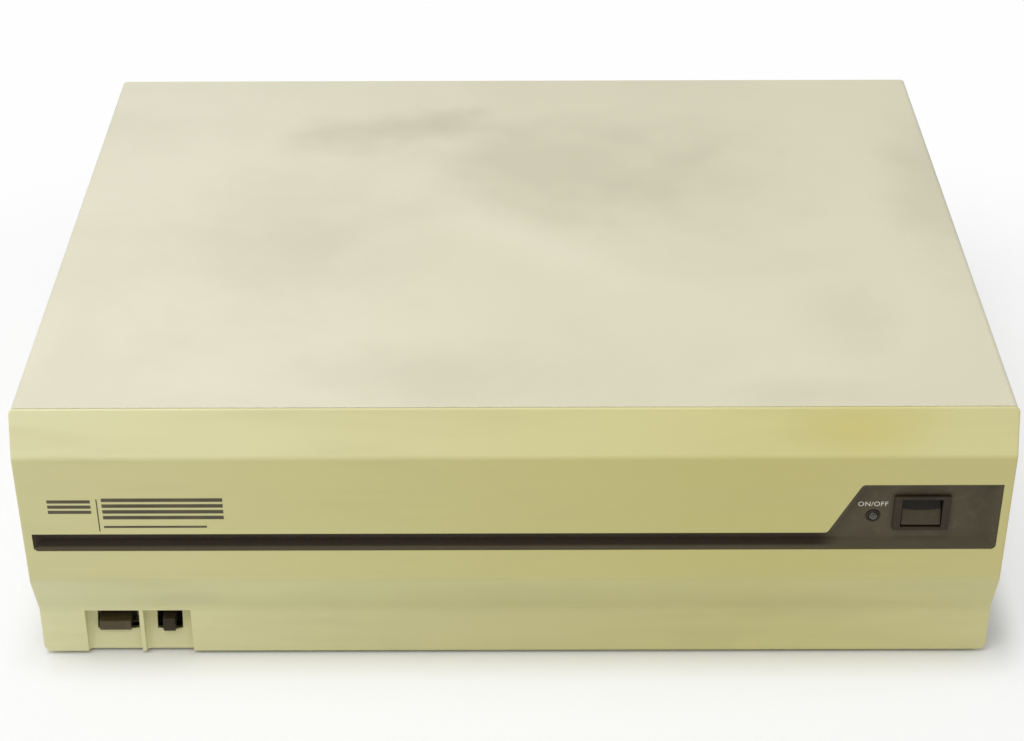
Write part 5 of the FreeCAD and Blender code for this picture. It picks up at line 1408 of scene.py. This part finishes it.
class ContactRecipe(GeometryRecipe):
    """Equal small pins with a domed tip."""

    def __init__(self, radius: float, long: float) -> None:
        """Write the tree.

        Args:
            radius: A pin's radius.
            long: A pin's length.
        """
        super().__init__("ContactPins")
        wide = self.size("Pin Radius", radius)
        length = self.size("Pin Length", long)
        shaft = self.column(10, wide, length)
        ball = self.add(
            "GeometryNodeMeshUVSphere", {"Segments": 10, "Rings": 6, "Radius": wide}
        ).outputs["Mesh"]
        tip = self.moved(ball, self.upward(length))
        self.close(self.on_spots(self.joined(shaft, tip)))


@dataclass
class Assembly:
    """What every sub-assembly shares: how a piece is dressed, seated and reported."""

    edge: float = 0.25 * MM
    edge_steps: int = 2
    edge_angle: float = 12.0

    def seat(
        self, piece: bpy.types.Object, finish: Finish, body: Body, *nodes: str
    ) -> bpy.types.Object:
        """Dress a piece, let it ride on its body and stand for its nodes.

        Args:
            piece: The piece.
            finish: Its finish.
            body: What it rides on.
            nodes: The CAD nodes that it stands for.

        Returns:
            The piece.
        """
        if not piece.data.materials:
            piece.data.materials.append(finish.material())
        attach(piece, body.value)
        if nodes:
            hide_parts(*nodes)
        LOG.info("%s on %s: %d faces", piece.name, body.value, len(piece.data.polygons))
        return piece

    def dressed(
        self,
        node: str,
        name: str,
        finish: Finish,
        body: Body = Body.CASE,
        edge: float | None = None,
        steps: int | None = None,
        whole: bool = True,
    ) -> bpy.types.Object:
        """A rounded and finished piece that takes its form from a CAD node.

        Args:
            node: The CAD node.
            name: The piece's name.
            finish: Its finish.
            body: What it rides on.
            edge: The width of its rounded edges, or None for the assembly's own.
            steps: The faces across them, or None for the assembly's own.
            whole: Whether its flat faces are made whole first.

        Returns:
            The piece.
        """
        bm = solid_of(node, whole)
        round_off(bm, edge or self.edge, steps or self.edge_steps, self.edge_angle)
        return self.seat(as_object(name, bm, outward=False), finish, body, node)

    def keep(self, *nodes: str) -> None:
        """Give CAD nodes that stay as they are the finish of their slot.

        Args:
            nodes: The CAD nodes.
        """
        slots = {row["node"]: row["material_slot"] for row in FRAME["record"]["subparts"]}
        for node in nodes:
            finish = FinishBook.by_slot(slots[node])
            mesh = FRAME["nodes"][node].data
            mesh.materials.clear()
            mesh.materials.append(finish.material())
            LOG.info("%s kept, in %s", node, finish.name)


@dataclass
class FrontShell(Assembly):
    """The moulded front with its printed badge."""

    edge: float = 0.55 * MM
    edge_steps: int = 3
    edge_angle: float = 10.0
    nose: Spot = (0.0, -0.201, 0.136)
    face_foot: Spot = (0.0, -0.1962, 0.059)
    soft_bend: float = 5.0 * MM
    soft_steps: int = 6
    nose_bend: float = 1.3 * MM
    print_proud: float = 0.05 * MM
    rule: tuple[float, float, float, float] = (-0.2104, 0.0904, 0.0006, 0.0205)
    short_bars: tuple[float, float, float, float] = (-0.2351, 0.1017, 0.0218, 0.0086)
    long_bars: tuple[float, float, float, float] = (-0.2077, 0.0981, 0.0610, 0.0133)
    foot_bar: tuple[float, float, float, float] = (-0.2078, 0.0926, 0.0521, 0.0013)
    bar_counts: tuple[int, int] = (3, 4)
    bar_share: float = 0.6

    def build(self) -> None:
        """Make the front and its badge."""
        bm = solid_of("front_bezel")
        self.soften(bm, self.face_foot, self.soft_bend, self.soft_steps)
        self.soften(bm, self.nose, self.nose_bend, self.edge_steps)
        round_off(bm, self.edge, self.edge_steps, self.edge_angle)
        piece = as_object("bezel_shell", bm, outward=False)
        self.seat(piece, FinishBook.BEZEL, Body.CASE, "front_bezel")
        self.badge()

    def soften(self, bm: bmesh.types.BMesh, bend: Spot, width: float, steps: int) -> None:
        """Round one long level bend of the front.

        Args:
            bm: The front's mesh.
            bend: A point on the bend.
            width: The width of the rounding.
            steps: How many faces it takes across.
        """
        reach = 0.1 * MM
        picked = [
            edge
            for edge in bm.edges
            if all(
                abs(vert.co.y - bend[1]) < reach and abs(vert.co.z - bend[2]) < reach
                for vert in edge.verts
            )
        ]
        bmesh.ops.bevel(
            bm, geom=picked, offset=width, offset_type="OFFSET", segments=steps, profile=0.5,
            affect="EDGES", clamp_overlap=True,
        )

    def depth_at(self, up: float) -> float:
        """How far forward the leaning front face lies at a height."""
        share = (self.nose[2] - up) / (self.nose[2] - self.face_foot[2])
        return self.nose[1] + (self.face_foot[1] - self.nose[1]) * share

    def badge(self) -> None:
        """A plain printed badge: an upright rule between short and long bars."""
        marks = [self.rule, self.foot_bar]
        for bars, count in zip((self.short_bars, self.long_bars), self.bar_counts):
            left, low, wide, high = bars
            thick = high / (1 + (count - 1) / self.bar_share)
            for step in range(count):
                marks.append((left, low + thick / self.bar_share * step, wide, thick))
        bm = bmesh.new()
        for left, low, wide, high in marks:
            corners = []
            for across, up in ((0, 0), (wide, 0), (wide, high), (0, high)):
                level = low + up
                for sink in (-self.print_proud, self.print_proud):
                    place = (left + across, self.depth_at(level) + sink, level)
                    corners.append(bm.verts.new(place))
            outer, inner = corners[0::2], corners[1::2]
            bm.faces.new(outer)
            bm.faces.new(inner[::-1])
            for index in range(4):
                after = (index + 1) % 4
                bm.faces.new((outer[after], outer[index], inner[index], inner[after]))
        self.seat(as_object("front_badge", bm), FinishBook.PRINT, Body.CASE)


@dataclass
class SwitchPanel(Assembly):
    """The dark tray with the power switch, the lamp and its lettering."""

    edge: float = 0.3 * MM
    lean: float = math.atan(4.8 / 77)
    recess: float = 3.6 * MM
    lamp: tuple[float, float] = (0.1816, 0.0969)
    lens_radius: float = 2.45 * MM
    lens_dome: float = 1.5 * MM
    lens_long: float = 8.0 * MM
    lens_rim: float = 0.4 * MM
    lens_steps: int = 8
    lens_sides: int = 40
    label: tuple[float, float] = (0.1811, 0.1029)
    label_high: float = 4.0 * MM
    label_thick: float = 0.05 * MM
    label_space: float = 1.08
    switch: tuple[float, float] = (0.2058, 0.0995)
    rocker_edge: float = 0.6 * MM
    rocker_radius: float = 8.4 * MM
    rocker_half: float = 10.0 * MM
    rocker_steps: int = 48
    pivot_deep: float = 2.2 * MM
    crest_proud: float = 0.4 * MM
    pressed_lean: float = 12.0
    standing_lean: float = 12.0
    pin_radius: float = 1.2 * MM
    pin_half: float = 11.6 * MM

    def build(self, shell: FrontShell) -> None:
        """Make the tray and all that it carries.

        Args:
            shell: The front that the tray is let into.
        """
        self.dressed("front_trim_panel", "trim_tray", FinishBook.TRAY)
        self.dressed("power_switch_frame", "switch_collar", FinishBook.DEEP)
        self.dressed("power_switch_body", "switch_housing", FinishBook.BLACK)
        self.rocker(shell)
        self.dressed("light_holder", "lamp_collar", FinishBook.BLACK, edge=0.15 * MM)
        self.lens(shell)
        self.lettering(shell)
        self.keep("switch_terminals")

    def on_floor(self, shell: FrontShell, across: float, up: float) -> Matrix:
        """The place on the tray's floor, with +Y running back into the case."""
        spot = (across, shell.depth_at(up) + self.recess, up)
        return Matrix.Translation(spot) @ Matrix.Rotation(self.lean, 4, "X")

    def rocker_outline(self) -> list[tuple[float, float]]:
        """Work out the rocker's corners: its crest, then round its drum.

        Returns:
            The depth and the height of each corner.
        """
        sunk = -self.crest_proud - self.pivot_deep
        ends = []
        for lean, side in ((self.pressed_lean, 1.0), (-self.standing_lean, -1.0)):
            slope = math.tan(math.radians(lean))
            root = math.sqrt(self.rocker_radius**2 * (1 + slope**2) - sunk**2)
            rise = (root - sunk * slope) / (1 + slope**2)
            ends.append(math.atan2(side * rise, sunk + slope * rise))
        corners = [(-self.crest_proud, 0.0)]
        for step in range(self.rocker_steps + 1):
            turn = ends[0] + (ends[1] - ends[0]) * step / self.rocker_steps
            across = self.pivot_deep + self.rocker_radius * math.cos(turn)
            corners.append((across, self.rocker_radius * math.sin(turn)))
        return corners

    def rocker(self, shell: FrontShell) -> None:
        """The rocker: a drum on two pins, its front a pressed and a standing flat.

        Args:
            shell: The front that the tray is let into.
        """
        bm = bmesh.new()
        half = self.rocker_half
        near, far = (
            [bm.verts.new((side, deep, up)) for deep, up in self.rocker_outline()]
            for side in (-half, half)
        )
        bm.faces.new(near)
        bm.faces.new(far[::-1])
        for index, corner in enumerate(near):
            after = (index + 1) % len(near)
            bm.faces.new((near[after], corner, far[index], far[after]))
        bmesh.ops.recalc_face_normals(bm, faces=bm.faces)
        round_off(bm, self.rocker_edge, 3, self.edge_angle)
        bmesh.ops.create_cone(
            bm,
            cap_ends=True,
            segments=24,
            radius1=self.pin_radius,
            radius2=self.pin_radius,
            depth=2 * self.pin_half,
            matrix=Matrix.Translation((0.0, self.pivot_deep, 0.0)) @ Axis.X.turn,
        )
        place = self.on_floor(shell, *self.switch)
        bmesh.ops.transform(bm, matrix=place, verts=list(bm.verts))
        piece = as_object("switch_rocker", bm)
        self.seat(piece, FinishBook.KEY, Body.ROCKER, "power_rocker")

    def lens(self, shell: FrontShell) -> None:
        """The lamp's round lens with its dome.

        Args:
            shell: The front that the tray is let into.
        """
        radius, long = self.lens_radius, self.lens_long
        profile = [(0.0, -long), (radius, -long), (radius, self.lens_rim)]
        for step in range(1, self.lens_steps):
            turn = math.pi / 2 * step / self.lens_steps
            height = self.lens_rim + self.lens_dome * math.sin(turn)
            profile.append((radius * math.cos(turn), height))
        profile.append((0.0, self.lens_rim + self.lens_dome))
        piece = turned("lamp_lens", profile, [(0.0, 0.0, 0.0)], Axis.Z, self.lens_sides)
        forward = Matrix.Rotation(math.pi / 2, 4, "X")
        piece.data.transform(self.on_floor(shell, *self.lamp) @ forward)
        self.seat(piece, FinishBook.LENS, Body.CASE, "power_light")

    def lettering(self, shell: FrontShell) -> None:
        """The generic ON/OFF marking over the lamp.

        Args:
            shell: The front that the tray is let into.
        """
        words = bpy.data.curves.new("switch_words", "FONT")
        words.body = "ON/OFF"
        words.size = self.label_high
        words.align_x = "CENTER"
        words.extrude = self.label_thick
        words.space_character = self.label_space
        carrier = bpy.data.objects.new("switch_words", words)
        bpy.context.scene.collection.objects.link(carrier)
        graph = bpy.context.evaluated_depsgraph_get()
        mesh = bpy.data.meshes.new_from_object(carrier.evaluated_get(graph))
        bpy.data.objects.remove(carrier)
        upright = Matrix.Rotation(math.pi / 2, 4, "X")
        mesh.transform(self.on_floor(shell, *self.label) @ upright)
        piece = bpy.data.objects.new("switch_marking", mesh)
        bpy.context.scene.collection.objects.link(piece)
        self.seat(piece, FinishBook.PALE_PRINT, Body.CASE)


@dataclass
class Bays(Assembly):
    """What stands in the two bays: the keyboard socket and the reset button."""

    edge: float = 0.3 * MM
    pin_radius: float = 0.4 * MM
    pin_long: float = 2.8 * MM
    pins: int = 7

    def build(self) -> None:
        """Make the socket, its pins and the button."""
        self.dressed("keyboard_socket", "key_socket", FinishBook.BROWN)
        self.dressed("reset_button", "reset_key", FinishBook.DEEP, Body.RESET, 0.4 * MM, 3)
        self.dressed("reset_switch_body", "reset_switch", FinishBook.BLACK)
        low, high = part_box("keyboard_contacts")
        middle = (low.z + high.z) / 2
        radius = (high.z - low.z) / 2
        span = high.x - low.x - 2 * radius
        spots = [
            ((low.x + radius + span * step / (self.pins - 1), high.y, middle), (0.0, -1.0, 0.0))
            for step in range(self.pins)
        ]
        recipe = ContactRecipe(self.pin_radius, self.pin_long - self.pin_radius)
        pins = recipe.run("socket_pins", FinishBook.BRASS, spots)
        self.seat(pins, FinishBook.BRASS, Body.CASE, "keyboard_contacts")


@dataclass
class Housing(Assembly):
    """The painted cover, the tray, the rear sheet and the feet."""

    edge: float = 0.22 * MM
    cover_edge: float = 0.3 * MM
    feet_edge: float = 0.4 * MM
    slots: int = 6

    def build(self) -> None:
        """Make every sheet and the feet."""
        self.dressed(
            "top_cover", "cover_shell", FinishBook.COVER, edge=self.cover_edge, whole=False
        )
        self.dressed("rear_panel", "rear_sheet", FinishBook.REAR)
        self.dressed("base_chassis", "base_tray", FinishBook.ZINC)
        for index in range(1, self.slots + 1):
            self.dressed("slot_cover_%d" % index, "slot_plate_%d" % index, FinishBook.REAR)
        self.dressed("rubber_feet", "feet", FinishBook.RUBBER, edge=self.feet_edge)


@dataclass
class Fasteners(Assembly):
    """Every screw, each family from one tree."""

    head: float = 3.0 * MM
    head_high: float = 1.6 * MM
    shank: float = 1.5 * MM
    shank_long: float = 7.0 * MM
    thumb: float = 3.6 * MM
    thumb_high: float = 3.0 * MM
    smooth: float = 28.0

    def build(self) -> None:
        """Make the plain screws, the thumb screws and the fan's screws."""
        plain = ScrewRecipe(self.head, self.head_high, self.shank, self.shank_long, seed=5)
        spots = self.heads_of("case_screws")
        screws = plain.run("plain_screws", FinishBook.SCREW, spots, self.smooth)
        self.seat(screws, FinishBook.SCREW, Body.CASE, "case_screws")
        long = ScrewRecipe(self.head, self.head_high, self.shank, 2 * self.shank_long, seed=8)
        spots = self.heads_of("fan_screws")
        screws = long.run("fan_long_screws", FinishBook.SCREW, spots, self.smooth)
        self.seat(screws, FinishBook.SCREW, Body.CASE, "fan_screws")
        ribbed = KnurledRecipe(self.thumb, self.thumb_high, self.shank, self.shank_long, seed=3)
        spots = self.heads_of("slot_thumb_screws")
        screws = ribbed.run("thumb_screws", FinishBook.SCREW, spots, self.smooth)
        self.seat(screws, FinishBook.SCREW, Body.CASE, "slot_thumb_screws")
        self.dressed("jack_posts", "hex_posts", FinishBook.SCREW, edge=0.2 * MM)

    def heads_of(self, node: str) -> list[tuple[Spot, Spot]]:
        """Where the screws of a CAD node seat, and which way their heads face.

        Args:
            node: The node whose separate solids are screws.

        Returns:
            The seat under each head, and the direction from shank to head.
        """
        bm = solid_of(node)
        found, seen = [], set()
        for start in bm.verts:
            if start in seen:
                continue
            stack, group = [start], []
            seen.add(start)
            while stack:
                vert = stack.pop()
                group.append(vert.co.copy())
                for edge in vert.link_edges:
                    other = edge.other_vert(vert)
                    if other not in seen:
                        seen.add(other)
                        stack.append(other)
            found.append(self._seat_of(group))
        bm.free()
        return found

    def _seat_of(self, corners: list[Vector]) -> tuple[Spot, Spot]:
        """Find the seat and the direction of one screw.

        Args:
            corners: Its corners.

        Returns:
            The seat under its head, and the direction from shank to head.
        """
        low = Vector(min(corner[axis] for corner in corners) for axis in range(3))
        high = Vector(max(corner[axis] for corner in corners) for axis in range(3))
        extent = high - low
        along = max(range(3), key=lambda axis: extent[axis])
        middle = (low + high) / 2
        others = [axis for axis in range(3) if axis != along]
        reach = max(extent[axis] for axis in others) / 2
        wide = [
            corner[along]
            for corner in corners
            if max(abs(corner[axis] - middle[axis]) for axis in others) > reach * RIM_SHARE
        ]
        outward = 1.0 if sum(wide) / len(wide) > middle[along] else -1.0
        seat = middle.copy()
        seat[along] = min(wide) if outward > 0 else max(wide)
        facing = Vector((0.0, 0.0, 0.0))
        facing[along] = outward
        return tuple(seat), tuple(facing)


@dataclass
class FanUnit(Assembly):
    """The fan: its frame, its wheel and the finger guard."""

    blades: int = 7
    hub: float = 19.0 * MM
    hub_deep: float = 18.0 * MM
    reach: float = 36.2 * MM
    hub_foot: float = 3.3 * MM

    def build(self) -> None:
        """Make the frame, the wheel and the guard."""
        self.dressed("fan_frame", "fan_duct", FinishBook.BLACK)
        self.dressed("fan_guard", "finger_guard", FinishBook.ZINC, edge=0.5 * MM, steps=3)
        low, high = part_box("fan_rotor")
        middle = (low + high) / 2
        spot = (middle.x, low.y + self.hub_foot, middle.z)
        recipe = BladeRecipe(self.hub, self.hub_deep, self.reach, self.blades)
        wheel = recipe.run("fan_wheel", FinishBook.BLACK, [(spot, (0.0, 1.0, 0.0))])
        self.seat(wheel, FinishBook.BLACK, Body.FAN, "fan_rotor")


@dataclass
class RearPorts(Assembly):
    """The sockets in the rear sheet."""

    edge: float = 0.25 * MM
    contact_pitch: float = 2.77 * MM
    row_pitch: float = 2.84 * MM
    contact_radius: float = 0.55 * MM
    plate_proud: float = 0.12 * MM
    rim: float = 1.0 * MM
    face_half: tuple[float, float] = (18.0 * MM, 3.2 * MM)
    face_slope: float = 1.2 * MM
    face_edge: float = 0.4 * MM
    row_counts: tuple[int, int] = (13, 12)
    contact_sunk: float = 0.05 * MM
    contact_long: float = 0.02 * MM

    def build(self) -> None:
        """Make every socket."""
        self.dressed("serial_port", "serial_shell", FinishBook.SHELL)
        self.serial_face()
        self.dressed("printer_port", "printer_shell", FinishBook.SHELL)
        self.dressed("video_ports", "video_sockets", FinishBook.SHELL)
        self.dressed("power_inlet", "mains_inlet", FinishBook.BLACK, edge=0.5 * MM, steps=3)
        self.dressed("inlet_pins", "mains_pins", FinishBook.BRASS, edge=0.3 * MM)

    def serial_face(self) -> None:
        """The insulating face of the serial socket with its two rows of contacts."""
        low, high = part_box("serial_port")
        middle = (low + high) / 2
        (half_wide, half_high), slope = self.face_half, self.face_slope
        outline = [
            (middle.x - half_wide + slope, middle.z - half_high),
            (middle.x + half_wide - slope, middle.z - half_high),
            (middle.x + half_wide, middle.z + half_high),
            (middle.x - half_wide, middle.z + half_high),
        ]
        bm = bmesh.new()
        front = [bm.verts.new((x, high.y + self.plate_proud, z)) for x, z in outline]
        back = [bm.verts.new((x, high.y - self.rim, z)) for x, z in outline]
        bm.faces.new(front)
        bm.faces.new(back[::-1])
        for index in range(4):
            after = (index + 1) % 4
            bm.faces.new((front[after], front[index], back[index], back[after]))
        bmesh.ops.recalc_face_normals(bm, faces=bm.faces)
        round_off(bm, self.face_edge, self.edge_steps, 30.0)
        self.seat(as_object("serial_insulator", bm), FinishBook.BLACK, Body.CASE)
        spots = []
        for count, up in zip(self.row_counts, (self.row_pitch / 2, -self.row_pitch / 2)):
            for step in range(count):
                across = middle.x + self.contact_pitch * (step - (count - 1) / 2)
                deep = high.y + self.plate_proud - self.contact_sunk
                spot = (across, deep, middle.z + up)
                spots.append((spot, (0.0, 1.0, 0.0)))
        holes = ContactRecipe(self.contact_radius, self.contact_long)
        piece = holes.run("serial_contacts", FinishBook.BRASS, spots)
        self.seat(piece, FinishBook.BRASS, Body.CASE)


@dataclass
class InnerWorks(Assembly):
    """Everything inside the housing, which keeps the CAD's own forms."""

    nodes: tuple[str, ...] = (
        "front_board",
        "main_board",
        "board_posts",
        "memory_chips",
        "logic_chips",
        "rom_chips",
        "processor",
        "clock_crystal",
        "backup_battery",
        "power_header",
        "power_harness",
        "card_cage",
        "backplane_board",
        "slot_sockets",
        "card_guides",
        "psu_case",
        "psu_cover",
        "psu_board",
        "psu_transformer",
        "psu_capacitors",
        "psu_heat_sink",
        "speaker_frame",
        "speaker_magnet",
    )

    def build(self) -> None:
        """Finish every inner node."""
        self.keep(*self.nodes)


@dataclass
class Studio:
    """The pale floor, the soft lights and the camera."""

    camera_spot: Spot = (0.0009, -1.1591, 0.7671)
    pitch: float = 31.2
    yaw: float = 0.11
    roll: float = -0.205
    focal: float = 2313.0
    picture_wide: float = 1024.0
    sensor: float = 36.0
    floor_half: float = 12.0
    floor_tone: Tone = Tone(246, 247, 248)
    foot_half: Spot = (0.250, 0.184, 0.0)
    edge_white: float = 0.48
    edge_reach: tuple[float, float] = (0.007, 0.026)
    far_white: float = 0.47
    far_reach: tuple[float, float] = (0.030, 0.260)
    sky: float = 0.52
    key_power: float = 28.0
    key_spot: Spot = (-0.4, -0.55, 2.42)
    key_size: float = 1.4
    fill_power: float = 7.0
    fill_spot: Spot = (-1.2, -1.3, 1.9)
    fill_size: float = 1.0
    aim: Spot = (0.0, 0.0, 0.08)

    def build(self) -> None:
        """Set up everything that isn't part of the object."""
        self.floor()
        self.world()
        self.lamp("KeySoftbox", self.key_spot, self.key_power, self.key_size)
        self.lamp("FillSoftbox", self.fill_spot, self.fill_power, self.fill_size)
        self.camera()
        bpy.context.scene.view_settings.view_transform = "Standard"

    def floor(self) -> None:
        """A plain pale floor that keeps the shadow and turns whiter for the camera."""
        half = self.floor_half
        mesh = bpy.data.meshes.new("studio_floor")
        corners = [(-half, -half, 0), (half, -half, 0), (half, half, 0), (-half, half, 0)]
        mesh.from_pydata(corners, [], [(0, 1, 2, 3)])
        floor = bpy.data.objects.new("studio_floor", mesh)
        bpy.context.scene.collection.objects.link(floor)
        material = bpy.data.materials.new("studio_floor")
        material.use_nodes = True
        graph = Graph(material.node_tree)
        graph.tree.nodes.clear()
        matt = graph.out("ShaderNodeBsdfDiffuse", {"Color": self.floor_tone.linear})
        glow = graph.out("ShaderNodeEmission", {"Color": (1.0, 1.0, 1.0, 1.0), "Strength": 1.0})
        seen = graph.add("ShaderNodeLightPath").outputs["Is Camera Ray"]
        away = self.away(graph)
        near = self.whiter(graph, away, self.edge_reach, self.edge_white)
        far = self.whiter(graph, away, self.far_reach, self.far_white)
        share = graph.math("MULTIPLY", seen, graph.math("ADD", near, far))
        both = graph.add("ShaderNodeMixShader", {0: share, 1: matt, 2: glow})
        output = graph.add("ShaderNodeOutputMaterial")
        graph.tree.links.new(both.outputs[0], output.inputs["Surface"])
        mesh.materials.append(material)
        floor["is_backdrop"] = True

    def away(self, graph: Graph) -> bpy.types.NodeSocket:
        """How far a point of the floor lies outside the object's footprint.

        Args:
            graph: The floor's nodes.

        Returns:
            The distance's socket.
        """
        spot = graph.add("ShaderNodeTexCoord").outputs["Object"]
        for operation, value in (
            ("ABSOLUTE", None),
            ("SUBTRACT", self.foot_half),
            ("MAXIMUM", (0.0, 0.0, 0.0)),
        ):
            feeds: Feed = {0: spot} if value is None else {0: spot, 1: value}
            spot = graph.out("ShaderNodeVectorMath", feeds, operation=operation)
        length = graph.add("ShaderNodeVectorMath", {0: spot}, operation="LENGTH")
        return length.outputs["Value"]

    @staticmethod
    def whiter(
        graph: Graph, away: bpy.types.NodeSocket, reach: tuple[float, float], most: float
    ) -> bpy.types.NodeSocket:
        """A share of white that grows with the distance from the footprint.

        Args:
            graph: The floor's nodes.
            away: The distance's socket.
            reach: The distances at which it starts and is full.
            most: The full share.

        Returns:
            The share's socket.
        """
        start, full = reach
        feeds: Feed = {"Value": away, "From Min": start, "From Max": full, "To Max": most}
        return graph.out("ShaderNodeMapRange", feeds, interpolation_type="SMOOTHSTEP")

    def world(self) -> None:
        """An even sky that the camera and reflections see as white."""
        world = bpy.data.worlds.new("studio_sky")
        world.use_nodes = True
        bpy.context.scene.world = world
        graph = Graph(world.node_tree)
        graph.tree.nodes.clear()
        paths = graph.add("ShaderNodeLightPath")
        seen = paths.outputs["Is Camera Ray"]
        strength = graph.math("MAXIMUM", seen, self.sky)
        feeds: Feed = {"Color": (1.0, 1.0, 1.0, 1.0), "Strength": strength}
        sky = graph.out("ShaderNodeBackground", feeds)
        output = graph.add("ShaderNodeOutputWorld")
        graph.tree.links.new(sky, output.inputs["Surface"])

    def lamp(self, name: str, spot: Spot, power: float, size: float) -> None:
        """A square soft light that looks at the middle of the object.

        Args:
            name: The lamp's name.
            spot: Where it hangs.
            power: Its power in watts.
            size: Its side in metres.
        """
        light = bpy.data.lights.new(name, "AREA")
        light.energy = power
        light.size = size
        lamp = bpy.data.objects.new(name, light)
        lamp.location = spot
        toward = Vector(self.aim) - Vector(spot)
        lamp.rotation_euler = toward.to_track_quat("-Z", "Y").to_euler()
        bpy.context.scene.collection.objects.link(lamp)

    def camera(self) -> None:
        """The camera at the photograph's angle."""
        data = bpy.data.cameras.new("PhotoCamera")
        data.sensor_width = self.sensor
        data.lens = self.focal / self.picture_wide * self.sensor
        camera = bpy.data.objects.new("PhotoCamera", data)
        bpy.context.scene.collection.objects.link(camera)
        camera.location = self.camera_spot
        level = Euler((math.pi / 2 - math.radians(self.pitch), 0.0, math.radians(self.yaw)))
        spin = Matrix.Rotation(math.radians(self.roll), 3, "Z")
        camera.rotation_euler = (level.to_matrix() @ spin).to_euler()
        bpy.context.scene.camera = camera


def corners() -> list[list[float]]:
    """The shown object's box as plain numbers."""
    return [list(corner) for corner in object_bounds()]


def main() -> None:
    """Build every sub-assembly in order, then the studio."""
    logging.basicConfig(level=logging.INFO, format="%(name)s: %(message)s")
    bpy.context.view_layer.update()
    shell = FrontShell()
    shell.build()
    SwitchPanel().build(shell)
    for assembly in (Bays(), Housing(), Fasteners(), FanUnit(), RearPorts(), InnerWorks()):
        assembly.build()
    Studio().build()


if __name__ == "__main__":
    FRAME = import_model()
    main()
